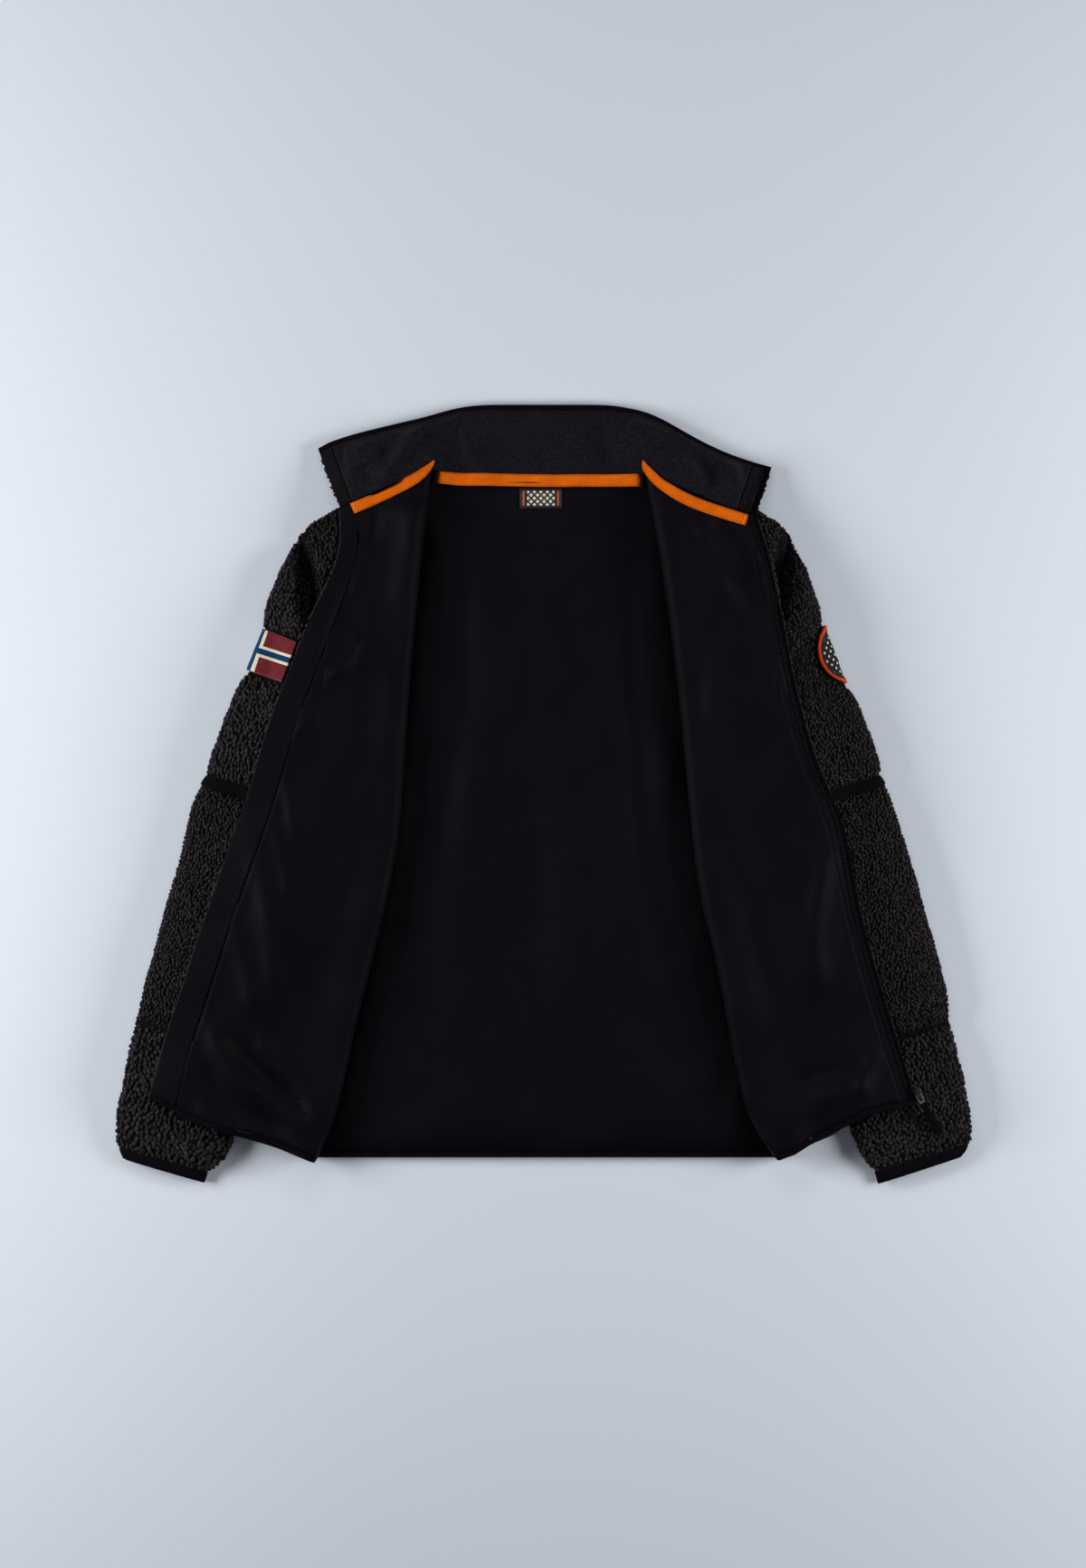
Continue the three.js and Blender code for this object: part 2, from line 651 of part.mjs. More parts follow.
function frontSurface(side) {
  const grid = [...hemRows, ...panelRows].map((v) => stations.map((station) => frontPoint(side, v, station)));
  const panelNormals = gridNormals(grid.slice(PANEL_ROW));
  const normals = [...hemRows.map(() => panelNormals[0]), ...panelNormals];
  normals.forEach((row) => {
    row[STRIP_COLUMN] = row[STRIP_COLUMN - 1];
  });
  return { grid, normals, facing: side.sign };
}

const PANEL = [PANEL_ROW, LAST_ROW];
const ACROSS = [0, LAST_COLUMN];
const STRIP = [STRIP_COLUMN, LAST_COLUMN];

// ---- collar --------------------------------------------------------------------------------------
// share runs from the right front's end to the left front's, up from the seam to the top edge.
function collarPoint(share, up, height) {
  const at = share * (collarSections.length - 1);
  const index = Math.min(collarSections.length - 2, Math.floor(at));
  const row = (column) => {
    const value = (k) => collarSections[clamp(k, 0, collarSections.length - 1)][column];
    const t = at - index;
    const [a, b, c, d] = [value(index - 1), value(index), value(index + 1), value(index + 2)];
    return 0.5 * (2 * b + (c - a) * t + (2 * a - 5 * b + 4 * c - d) * t * t + (3 * b - a - 3 * c + d) * t ** 3);
  };
  const z = mix(row("seamZ"), row("topZ"), smooth(0.05, 1, up));
  return new THREE.Vector3(
    mix(row("seamX"), row("topX"), up),
    mix(row("seamY"), row("topY"), up),
    Math.max(0, z) + height,
  );
}

const GUARD_SHARE = 0.045; // the chin guard's share of the collar's length
const ZIP_SHARE = 0.036;
const COLLAR_COLUMNS = 23;
const collarShares = [
  0,
  GUARD_SHARE / 2,
  GUARD_SHARE,
  ...Array.from({ length: COLLAR_COLUMNS + 1 }, (_, k) =>
    mix(GUARD_SHARE + 0.001, 1 - ZIP_SHARE - 0.001, k / COLLAR_COLUMNS),
  ),
  1 - ZIP_SHARE,
  1 - ZIP_SHARE / 2,
  1,
];
const LAST_SHARE = collarShares.length - 1;
const collarLevels = [0, 0.07, 0.28, 0.5, 0.72, 0.925, 0.93, 0.965, 1];
const collarSurface = {
  grid: collarLevels.map((up) => collarShares.map((share) => collarPoint(share, up, 0))),
  normals: collarLevels.map(() => collarShares.map(() => new THREE.Vector3(0, 0, 1))),
  facing: 1,
};
const COLLAR_PANEL = [0, 5];
const COLLAR_EDGE = [6, 8];

// ---- neck tape, label ------------------------------------------------------------------------------
function neckTapeBack() {
  const at = (z) =>
    gridOf(1, 12, (v, share) => {
      const x = mix(-111, 96, share);
      const y = mix(692.2, 688.8, share) + mix(-NECK_TAPE / 2, NECK_TAPE / 2, v);
      return new THREE.Vector3(x, y, z);
    });
  return wallBetween(at(10.2), at(9.2));
}

// Height of the collar's inner face where its seam passes a given x.
function collarFaceAt(x) {
  const column = collarSurface.grid[1];
  for (let k = 1; k < column.length; k += 1) {
    if (x > column[k].x) continue;
    const part = (x - column[k - 1].x) / (column[k].x - column[k - 1].x);
    return mix(column[k - 1].z, column[k].z, clamp(part, 0, 1)) + COLLAR_FACE;
  }
  return column[column.length - 1].z + COLLAR_FACE;
}

// A stretch that covers the seam between a front and the collar, from the fold to near the edge.
function neckTapeFront(side, fromFold, fromEdge) {
  const crest = frontPoint(side, 1, { zone: "upper", t: 0 });
  const edge = frontPoint(side, 1, { zone: "upper", stripShare: 0 });
  const along = edge.clone().sub(crest).setZ(0).normalize();
  const up = new THREE.Vector3(-along.y, along.x, 0).multiplyScalar(side.sign);
  const reach = edge.clone().sub(crest).setZ(0).length();
  const at = (height) =>
    gridOf(1, 10, (v, share) => {
      const run = mix(fromFold, reach - fromEdge, share);
      const t = clamp(run / (reach - ZIP_TAPE_WIDTH - SEAM), 0, 1);
      const point = crest.clone().setZ(0).addScaledVector(along, run);
      const frontFace = frontPoint(side, 1, { zone: "upper", t }).z + LINING_OUT + LINING;
      point.addScaledVector(up, mix(-NECK_TAPE / 2, NECK_TAPE / 2, v));
      point.z = Math.max(frontFace, collarFaceAt(point.x)) + 2 * SEAM + height;
      return point;
    });
  return wallBetween(at(TAPE), at(0));
}

function neckLabel() {
  const at = (z) =>
    gridOf(1, 2, (v, share) => new THREE.Vector3(
      LABEL.x + (share - 0.5) * LABEL.width,
      LABEL.y + (v - 0.5) * LABEL.height,
      z,
    ));
  return wallBetween(at(BACK_TOP + SEAM + LABEL.thick), at(BACK_TOP + SEAM));
}

// ---- patches on the sleeves ------------------------------------------------------------------------
// A place on a sleeve's outer face: across is measured round the section from the outer edge,
// up over the top and down round the underside.
function onSleeve(side, row, across, lift) {
  const samples = 60;
  const points = Array.from({ length: samples * 2 + 1 }, (_, k) => {
    const angle = ((k - samples) / samples) * Math.PI * 0.75;
    const reach = Math.sign(Math.cos(angle)) * Math.abs(Math.cos(angle)) ** 0.8;
    const bulge = Math.abs(Math.sin(angle)) ** 0.7;
    const level = Math.sin(angle) > 0 ? bulge : -Math.min(1, bulge * 1.15);
    return sleevePoint(side, row, 0.5 - 0.5 * reach, 0.5 + 0.5 * level);
  });
  let index = samples;
  let walked = 0;
  const step = across >= 0 ? 1 : -1;
  while (index + step > 0 && index + step < samples * 2) {
    const length = points[index].distanceTo(points[index + step]);
    if (walked + length > Math.abs(across)) break;
    walked += length;
    index += step;
  }
  const next = points[index + step];
  const rest = (Math.abs(across) - walked) / points[index].distanceTo(next);
  const place = points[index].clone().lerp(next, clamp(rest, 0, 1));
  const tangent = points[index + 1].clone().sub(points[index - 1]);
  const inPlan = new THREE.Vector3(side.sign * (row.inX - row.outX), row.inY - row.outY, 0).normalize();
  const out = tangent.dot(inPlan);
  const normal = inPlan.clone().multiplyScalar(-tangent.z).add(new THREE.Vector3(0, 0, out)).normalize();
  return place.addScaledVector(normal, lift);
}

const PATCH_CLEAR = 1.3;

function rowAtOuter(side, y) {
  const rows = side.sleeve.upper;
  for (let i = 1; i < rows.length; i += 1) {
    if (rows[i].outY > y) continue;
    const part = (rows[i - 1].outY - y) / (rows[i - 1].outY - rows[i].outY);
    return Object.fromEntries(
      Object.keys(rows[i]).map((key) => [key, mix(rows[i - 1][key], rows[i][key], part)]),
    );
  }
  return rows[rows.length - 1];
}

function flagPatch() {
  const at = (lift) =>
    gridOf(4, 20, (v, share) =>
      onSleeve(rightSide, rowAtOuter(rightSide, mix(496.5, 533, v)), mix(-FLAG.under, FLAG.over, share), lift),
    );
  return wallBetween(at(FLAG.thick + PATCH_CLEAR), at(PATCH_CLEAR));
}

function roundBadge() {
  const rings = 5;
  const spokes = 24;
  const place = (ring, spoke, lift) => {
    const angle = (spoke / spokes) * Math.PI * 2;
    const radius = (BADGE.radius * ring) / rings;
    const across = -BADGE.beyond + 0.9 * radius * Math.cos(angle);
    const row = rowAtOuter(leftSide, BADGE.y + radius * Math.sin(angle));
    return onSleeve(leftSide, row, Math.max(across, -BADGE.under), lift);
  };
  const layer = (lift) => [
    place(0, 0, lift),
    ...Array.from({ length: rings * spokes }, (_, k) => place(1 + Math.floor(k / spokes), k % spokes, lift)),
  ];
  const top = layer(BADGE.thick + PATCH_CLEAR);
  const positions = [...top, ...layer(PATCH_CLEAR)];
  const count = top.length;
  const triangles = [];
  const index = (ring, spoke) => 1 + (ring - 1) * spokes + (spoke % spokes);
  for (let k = 0; k < spokes; k += 1) {
    triangles.push([0, index(1, k), index(1, k + 1)], [count, count + index(1, k + 1), count + index(1, k)]);
    for (let ring = 1; ring < rings; ring += 1) {
      const [a, b, c, d] = [index(ring, k), index(ring + 1, k), index(ring + 1, k + 1), index(ring, k + 1)];
      triangles.push([a, b, c], [a, c, d], [count + a, count + c, count + b], [count + a, count + d, count + c]);
    }
    const [e, f] = [index(rings, k), index(rings, k + 1)];
    triangles.push([e, count + e, count + f], [e, count + f, f]);
  }
  return bodyFrom(positions, triangles);
}

// ---- zip slider and its pull -------------------------------------------------------------------------
const wasm = await Module();
wasm.setup();

function toSolid(geometry) {
  const bare = geometry.index ? geometry.toNonIndexed() : geometry.clone();
  bare.deleteAttribute("normal");
  bare.deleteAttribute("uv");
  const merged = mergeVertices(bare, 1e-4);
  return new wasm.Manifold(
    new wasm.Mesh({
      numProp: 3,
      vertProperties: merged.attributes.position.array,
      triVerts: new Uint32Array(merged.index.array),
    }),
  );
}

function fromSolid(solid) {
  const mesh = solid.getMesh();
  const geometry = new THREE.BufferGeometry();
  geometry.setAttribute("position", new THREE.Float32BufferAttribute(mesh.vertProperties, 3));
  geometry.setIndex(Array.from(mesh.triVerts));
  geometry.computeVertexNormals();
  return geometry;
}

function roundedOutline(from, to, startWidth, endWidth, corner) {
  const shape = new THREE.Shape();
  shape.moveTo(from + corner, -startWidth / 2);
  shape.lineTo(to - corner, -endWidth / 2);
  shape.quadraticCurveTo(to, -endWidth / 2, to, corner - endWidth / 2);
  shape.lineTo(to, endWidth / 2 - corner);
  shape.quadraticCurveTo(to, endWidth / 2, to - corner, endWidth / 2);
  shape.lineTo(from + corner, startWidth / 2);
  shape.quadraticCurveTo(from, startWidth / 2, from, startWidth / 2 - corner);
  shape.lineTo(from, corner - startWidth / 2);
  shape.quadraticCurveTo(from, -startWidth / 2, from + corner, -startWidth / 2);
  return shape;
}

const plate = (shape, thick, bevel) =>
  new THREE.ExtrudeGeometry(shape, {
    depth: thick - 2 * bevel,
    bevelEnabled: true,
    bevelThickness: bevel,
    bevelSize: bevel,
    bevelOffset: -bevel,
    bevelSegments: 2,
    curveSegments: 5,
  }).translate(0, 0, bevel);

// In the slider's own frame X runs to its tail, where the pull lies, and z = 0 is its underside.
const BAIL = { half: 4, width: 2.4, high: 5, bar: 1.3 };
const SLIDER_BODY = 3;
const AXIS_HEIGHT = SLIDER_BODY + 2.3;

function sliderSolid() {
  const outline = roundedOutline(-SLIDER.length / 2, SLIDER.length / 2, SLIDER.width, 7.4, 2);
  const arch = new THREE.Shape();
  arch.moveTo(-BAIL.half, -0.5);
  arch.lineTo(-BAIL.half, BAIL.high - 1.2);
  arch.quadraticCurveTo(-BAIL.half, BAIL.high, 1.2 - BAIL.half, BAIL.high);
  arch.lineTo(BAIL.half - 1.2, BAIL.high);
  arch.quadraticCurveTo(BAIL.half, BAIL.high, BAIL.half, BAIL.high - 1.2);
  arch.lineTo(BAIL.half, -0.5);
  arch.lineTo(BAIL.half - BAIL.bar, -0.5);
  arch.lineTo(BAIL.half - BAIL.bar, BAIL.high - BAIL.bar);
  arch.lineTo(BAIL.bar - BAIL.half, BAIL.high - BAIL.bar);
  arch.lineTo(BAIL.bar - BAIL.half, -0.5);
  const bail = new THREE.ExtrudeGeometry(arch, { depth: BAIL.width, bevelEnabled: false, curveSegments: 4 });
  bail.translate(0, 0, -BAIL.width / 2).rotateX(Math.PI / 2).translate(0, 0, SLIDER_BODY);
  return fromSolid(toSolid(plate(outline, SLIDER_BODY, 0.7)).add(toSolid(bail)));
}

// In the pull's frame the hinge axis is Y through the origin and X runs to its free end.
const RING = { bar: 1.4, width: 7, reach: 9 };

function pullRing() {
  const outline = roundedOutline(-RING.bar / 2, RING.reach, RING.width, RING.width - 1, 0.65);
  const eye = new THREE.Path();
  const half = RING.width / 2 - RING.bar;
  eye.moveTo(RING.bar / 2, -half);
  eye.lineTo(RING.bar / 2, half);
  eye.lineTo(RING.reach - 2.6, half - 0.3);
  eye.lineTo(RING.reach - 2.6, 0.3 - half);
  eye.lineTo(RING.bar / 2, -half);
  outline.holes.push(eye);
  return new THREE.ExtrudeGeometry(outline, {
    depth: RING.bar,
    bevelEnabled: false,
    curveSegments: 4,
  }).translate(0, 0, -RING.bar / 2);
}

function pullStrap() {
  const outline = roundedOutline(0, PULL.strap, PULL.width - 1.4, PULL.width, 2);
  return plate(outline, PULL.thick, 0.6).translate(0, 0, -PULL.thick / 2);
}

// ---- the jacket ----------------------------------------------------------------------------------
const jacket = new THREE.Group();

const finishes = {
  sherpa: { color: 0x1b1b1a, roughness: 0.95, metalness: 0 },
  lining: { color: 0x0c0c12, roughness: 0.6, metalness: 0 },
  microfleece: { color: 0x222225, roughness: 0.9, metalness: 0 },
  binding: { color: 0x0a0a0c, roughness: 0.7, metalness: 0 },
  orangeTape: { color: 0xf0730a, roughness: 0.7, metalness: 0 },
  label: { color: 0x2a2a2e, roughness: 0.7, metalness: 0 },
  flag: { color: 0x6e2d32, roughness: 0.8, metalness: 0 },
  badge: { color: 0x18181b, roughness: 0.6, metalness: 0 },
  metal: { color: 0x6f7277, roughness: 0.35, metalness: 1 },
  rubber: { color: 0x141416, roughness: 0.6, metalness: 0 },
};

function addPiece(name, geometry, finish) {
  const mesh = new THREE.Mesh(geometry, new THREE.MeshStandardMaterial(finishes[finish]));
  mesh.name = name;
  jacket.add(mesh);
  return mesh;
}

addPiece("back_shell", backShell(), "sherpa");
addPiece("back_lining", backLining(), "lining");
addPiece("hem_binding_back", backHemBinding(), "binding");
addPiece("neck_label", neckLabel(), "label");

for (const side of [leftSide, rightSide]) {
  const { name, sleeve } = side;
  const surface = frontSurface(side);
  const liningFace = LINING_OUT + LINING;
  const tapeFace = LINING_OUT + TAPE;
  addPiece(`front_shell_${name}`, wallOn(surface, PANEL, ACROSS, -SHELL / 2, SHELL / 2), "sherpa");
  addPiece(
    `front_lining_${name}`,
    wallOn(surface, PANEL, [0, STRIP_COLUMN - 1], LINING_OUT, liningFace),
    "lining",
  );
  addPiece(
    `hem_binding_${name}`,
    wallOn(surface, [0, PANEL_ROW - 1], ACROSS, 0.6 - SHELL / 2, liningFace),
    "binding",
  );
  addPiece(`zip_tape_${name}`, wallOn(surface, PANEL, STRIP, LINING_OUT, tapeFace), "binding");
  if (side === rightSide) {
    addPiece("wind_flap", wallOn(surface, PANEL, STRIP, tapeFace + SEAM, tapeFace + SEAM + FLAP), "lining");
  }
  addPiece(`sleeve_upper_${name}`, sleeveTube(side, sleeve.upper), "sherpa");
  addPiece(`elbow_band_${name}`, sleeveTube(side, elbowRows(side)), "binding");
  addPiece(`sleeve_forearm_${name}`, sleeveTube(side, sleeve.forearm), "sherpa");
  addPiece(`sleeve_lower_${name}`, sleeveTube(side, sleeve.lower), "sherpa");
  addPiece(`cuff_binding_${name}`, sleeveTube(side, sleeve.cuff), "binding");
}

const collarInner = COLLAR_SHELL + SEAM;
addPiece("collar_shell", wallOn(collarSurface, COLLAR_PANEL, [0, LAST_SHARE], 0, COLLAR_SHELL), "sherpa");
addPiece(
  "collar_lining",
  wallOn(collarSurface, COLLAR_PANEL, [3, LAST_SHARE - 3], collarInner, COLLAR_FACE),
  "microfleece",
);
addPiece("chin_guard", wallOn(collarSurface, COLLAR_PANEL, [0, 2], collarInner, collarInner + FLAP), "label");
addPiece(
  "collar_zip_tape",
  wallOn(collarSurface, COLLAR_PANEL, [LAST_SHARE - 2, LAST_SHARE], collarInner, collarInner + TAPE),
  "binding",
);
addPiece(
  "collar_binding",
  wallOn(collarSurface, COLLAR_EDGE, [0, LAST_SHARE], 0, COLLAR_FACE + 0.3),
  "binding",
);
addPiece("neck_tape_back", neckTapeBack(), "orangeTape");
addPiece("neck_tape_left", neckTapeFront(leftSide, 2, 8), "orangeTape");
addPiece("neck_tape_right", neckTapeFront(rightSide, 2, 17), "orangeTape");
addPiece("flag_patch", flagPatch(), "flag");
addPiece("round_badge", roundBadge(), "badge");

// The slider lies on the foot of the left zip tape, and its pull slopes down on to the sleeve.
const zipFoot = frontPoint(leftSide, HEM_V, { zone: "upper", stripShare: 0.3 });
const sliderGroup = new THREE.Group();
sliderGroup.position.set(SLIDER.x, SLIDER.y, zipFoot.z + LINING_OUT + TAPE + 2 * SEAM);
sliderGroup.rotation.z = THREE.MathUtils.degToRad(PULL.turn - 90);
jacket.add(sliderGroup);
const slider = addPiece("zip_slider", sliderSolid(), "metal");
sliderGroup.add(slider);

const axisPoint = sliderGroup.position.clone();
axisPoint.z += AXIS_HEIGHT;
const pullAlong = new THREE.Vector3(1, 0, 0).applyEuler(sliderGroup.rotation);

// The ring rests on the slider's tail, and the strap slopes on down until it is just above the sleeve.
const RING_SLOPE = Math.atan2(AXIS_HEIGHT - SLIDER_BODY - RING.bar / 2 - SEAM, SLIDER.length / 2);

function strapSlope() {
  const ringEnd = axisPoint.clone().addScaledVector(pullAlong, RING.reach * Math.cos(RING_SLOPE));
  ringEnd.z -= RING.reach * Math.sin(RING_SLOPE);
  let slope = Math.PI / 3;
  for (let reach = 4; reach <= PULL.strap; reach += 1) {
    const point = ringEnd.clone().addScaledVector(pullAlong, reach);
    const drop = point.z - PULL.thick / 2 - 2 * SEAM - sleeveTop(leftSide, point.x, point.y);
    slope = Math.min(slope, Math.atan2(drop, reach));
  }
  return slope;
}

const pullGroup = new THREE.Group();
pullGroup.position.set(0, 0, AXIS_HEIGHT);
pullGroup.rotation.y = RING_SLOPE;
sliderGroup.add(pullGroup);
pullGroup.add(addPiece("pull_ring", pullRing(), "metal"));
const strapGroup = new THREE.Group();
strapGroup.position.set(RING.reach + SEAM, 0, 0);
strapGroup.rotation.y = strapSlope() - RING_SLOPE;
pullGroup.add(strapGroup);
strapGroup.add(addPiece("pull_strap", pullStrap(), "rubber"));

// The frame's origin is under the middle of the whole, on the floor.
jacket.updateMatrixWorld(true);
const bounds = new THREE.Box3().setFromObject(jacket);
const centre = bounds.getCenter(new THREE.Vector3());
jacket.position.set(-centre.x, -centre.y, -bounds.min.z);
jacket.userData.pullHinge = axisPoint.clone().add(jacket.position);

export default jacket;
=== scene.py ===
"""A pile fleece zip jacket laid open on its back, dressed over its plain solids."""

import json
import math
from contextlib import contextmanager

import bpy
import numpy as np
from mathutils import Matrix, Vector
from mathutils.bvhtree import BVHTree

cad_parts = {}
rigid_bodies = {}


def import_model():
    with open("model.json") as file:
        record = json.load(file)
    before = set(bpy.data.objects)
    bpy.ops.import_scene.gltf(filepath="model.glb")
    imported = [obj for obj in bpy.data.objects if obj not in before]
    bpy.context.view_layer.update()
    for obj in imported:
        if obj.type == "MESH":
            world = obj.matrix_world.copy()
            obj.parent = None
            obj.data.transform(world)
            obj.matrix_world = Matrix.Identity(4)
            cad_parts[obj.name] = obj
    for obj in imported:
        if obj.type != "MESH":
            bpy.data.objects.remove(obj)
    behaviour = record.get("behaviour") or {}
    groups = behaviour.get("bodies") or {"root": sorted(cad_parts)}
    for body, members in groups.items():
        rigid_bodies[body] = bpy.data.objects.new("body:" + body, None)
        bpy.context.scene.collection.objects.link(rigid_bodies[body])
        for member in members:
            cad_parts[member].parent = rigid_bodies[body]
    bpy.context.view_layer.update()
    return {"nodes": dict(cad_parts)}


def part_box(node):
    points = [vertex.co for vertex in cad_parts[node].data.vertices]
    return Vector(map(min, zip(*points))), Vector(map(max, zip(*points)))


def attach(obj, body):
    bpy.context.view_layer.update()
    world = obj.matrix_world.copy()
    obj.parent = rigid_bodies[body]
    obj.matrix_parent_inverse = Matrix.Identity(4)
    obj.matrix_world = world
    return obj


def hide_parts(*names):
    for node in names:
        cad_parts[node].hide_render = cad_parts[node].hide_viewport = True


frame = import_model()

bl_info = {
    "name": "Pile fleece zip jacket",
    "version": (1, 0, 0),
    "blender": (4, 5, 0),
    "location": "View3D > Sidebar > Jacket",
    "description": "Dresses a laid-out pile fleece jacket with cloth, pile, tapes, patches and zip",
    "category": "Object",
}

MM = 0.001
WELD = 0.02 * MM  # corners of a solid closer than this are one corner
GARMENT = "garment"

# ---- shapes -------------------------------------------------------------------------------------
# Lines here are in metres on the floor plan: x to the wearer's left, y towards the collar.
# The left front's zip edge, from the hem to the neck.
ZIP_EDGE = (
    (0.3765, -0.3099), (0.3670, -0.2799), (0.3425, -0.2019), (0.3185, -0.1149),
    (0.3000, -0.0249), (0.2750, 0.0321), (0.2505, 0.1241), (0.2320, 0.2281), (0.2150, 0.2831),
)

# Soft folds of cloth: a line in mm on the floor plan, then width and rise in mm. A trough's rise is
# negative.
FRONT_FOLDS = {
    "left": [
        (((124, 300), (136, 200), (150, 90)), 20, 2.6),
        (((150, 288), (175, 240), (200, 210), (226, 188)), 7, 4.2),
        (((172, 288), (196, 254), (222, 220)), 9, -4.0),
        (((182, 216), (205, 196), (230, 182)), 4, 2.0),
        (((238, 160), (236, 130), (240, 96)), 5, 1.8),
        (((232, 90), (228, 40), (240, -10)), 12, -1.6),
        (((290, -40), (280, -90), (272, -150), (284, -205)), 8, 2.8),
        (((264, -10), (254, -60), (252, -120)), 9, -1.8),
        (((312, -120), (298, -170), (292, -235)), 9, -1.8),
        (((344, -250), (330, -272), (320, -300), (334, -312)), 8, 4.0),
        (((338, -268), (296, -280), (254, -294), (226, -318)), 6, -3.2),
        (((316, -298), (280, -310), (252, -334), (236, -356)), 11, 3.6),
        (((198, -318), (208, -336), (222, -352), (232, -364)), 4, 3.0),
        (((207, -316), (213, -331), (227, -344)), 4, -3.4),
        (((176, -60), (196, -160), (214, -250)), 16, 1.8),
    ],
    "right": [
        (((-134, 310), (-136, 250), (-148, 180)), 11, 3.0),
        (((-164, 302), (-180, 250), (-196, 212), (-208, 186)), 8, -3.6),
        (((-172, 262), (-188, 222), (-198, 190)), 5, 3.0),
        (((-186, 166), (-196, 140), (-212, 122), (-230, 115)), 6, 4.0),
        (((-180, 150), (-184, 90), (-196, 20)), 18, 1.6),
        (((-232, 78), (-242, 70), (-250, 56)), 5, 2.0),
        (((-262, 20), (-254, -20), (-250, -60)), 5, 2.2),
        (((-276, -28), (-264, -60), (-256, -112)), 5, 2.0),
        (((-291, -52), (-279, -120), (-271, -205)), 8, 3.0),
        (((-317, -126), (-301, -180), (-291, -225)), 7, 2.2),
        (((-340, -214), (-327, -258), (-300, -290), (-264, -320), (-226, -352)), 9, 5.4),
        (((-318, -240), (-286, -282), (-254, -304), (-230, -334)), 7, -3.4),
        (((-296, -236), (-266, -276), (-240, -306), (-222, -342)), 6, 3.6),
        (((-350, -262), (-322, -300), (-286, -324), (-248, -344)), 7, -3.4),
        (((-142, 80), (-150, 0), (-172, -84)), 12, -2.0),
        (((-352, -300), (-330, -322), (-300, -336)), 5, 2.2),
    ],
}
BACK_FOLDS = [
    (((84, 296), (86, 150), (95, 30), (104, -60), (122, -140), (140, -210), (152, -292)), 9, -3.6),
    (((-72, 262), (-86, 190), (-84, 100), (-90, 50), (-102, 0), (-108, -40)), 8, -2.4),
    (((-60, 292), (-58, 150), (-70, 40), (-82, -60), (-94, -190)), 14, 1.8),
    (((-17, 210), (-16, 50), (-10, -60), (-4, -180), (8, -268)), 7, -1.5),
    (((8, 284), (20, 150), (30, 0), (42, -120), (46, -262)), 20, 1.8),
    (((112, 60), (122, 20), (126, -20)), 12, 2.4),
    (((-176, -330), (-140, -346), (-104, -350)), 7, 2.0),
    (((-10, -346), (14, -349), (36, -344)), 7, 1.8),
    (((188, -262), (182, -300), (162, -344)), 6, -2.2),
]
COLLAR_FOLDS = [
    (((-118, 384), (-134, 362), (-150, 336), (-174, 304)), 6, 3.4),
    (((-112, 372), (-124, 350), (-134, 334)), 8, -1.8),
    (((-92, 374), (-98, 352), (-110, 336)), 9, -3.0),
    (((-82, 378), (-76, 348), (-62, 332), (-46, 324)), 6, 2.8),
    (((-64, 374), (-36, 356), (-6, 350), (12, 334)), 7, -2.6),
    (((-44, 376), (-16, 364), (10, 354), (30, 338)), 7, 1.8),
    (((-24, 388), (4, 378), (32, 366), (48, 348)), 9, 2.2),
    (((52, 388), (60, 370), (62, 352), (72, 334)), 7, -3.2),
    (((84, 380), (100, 366), (116, 348)), 9, 2.8),
    (((122, 374), (142, 352), (156, 340), (165, 322), (172, 300)), 6, -3.0),
    (((134, 346), (152, 330), (164, 308)), 5, 2.4),
    (((182, 342), (196, 322), (202, 306)), 9, 2.6),
    (((-196, 352), (-176, 346), (-160, 352)), 7, 2.0),
    (((-186, 336), (-178, 320), (-186, 304)), 6, -2.0),
]
# How far the hem's edge bows out of its straight line: place across and shift along, in mm.
HEM_SWAY = {
    "left": ((238, 0), (254, -1.7), (275, 2.5), (301, 4.4), (325, 8.0), (348, 4.4), (362, 0), (375, -2)),
    "right": ((-396, -4.6), (-378, -8), (-368, -11), (-338, -10), (-311, -7), (-268, -1), (-235, 0)),
}
HEM_LINE = {"left": ((375.7, -311.3), (239.9, -370.3)), "right": ((-396, -294.4), (-232.6, -372.9))}
# The armhole seam of the left sleeve; the right one mirrors it.
ARMHOLE = ((258, 284), (252, 268), (245, 250), (239, 215), (235, 178), (230, 146))


def smooth(low, high, value):
    share = np.clip((value - low) / (high - low), 0, 1)
    return share * share * (3 - 2 * share)


def ridge_lift(table, x, y, spread=1.0):
    """Height of soft folds over a plan, in metres; spread widens them all."""
    lift = np.zeros_like(x)
    for index, (line, width, rise) in enumerate(table):
        width *= spread
        path = smooth_path(np.array(line) * MM, 3 * MM)
        near = np.flatnonzero(
            (np.abs(x - path[:, 0].mean()) < np.ptp(path[:, 0]) / 2 + 4 * width * MM)
            & (np.abs(y - path[:, 1].mean()) < np.ptp(path[:, 1]) / 2 + 4 * width * MM)
        )
        if not len(near):
            continue
        gaps = np.hypot(x[near, None] - path[:, 0], y[near, None] - path[:, 1])
        share = gaps.argmin(axis=1) / (len(path) - 1)
        ends = smooth(0, 0.22, share) * (1 - smooth(0.76, 1, share))
        swell = 1 + 0.2 * np.sin(share * (5 + index % 4) + index)
        lift[near] += rise * MM * ends * swell * np.exp(-((gaps.min(axis=1) / (width * MM)) ** 2))
    return np.where(lift > 0, lift, 0.62 * lift)


def undulation(x, y, span, seed):
    """Slow uneven waves between about -1 and 1, span metres apart."""
    draw = np.random.default_rng(seed)
    total = np.zeros_like(x)
    for _ in range(7):
        turn = draw.uniform(0, math.tau)
        rate = math.tau / (span * draw.uniform(0.6, 1.7))
        total += np.sin((x * math.cos(turn) + y * math.sin(turn)) * rate + draw.uniform(0, math.tau))
    return total / 3.2


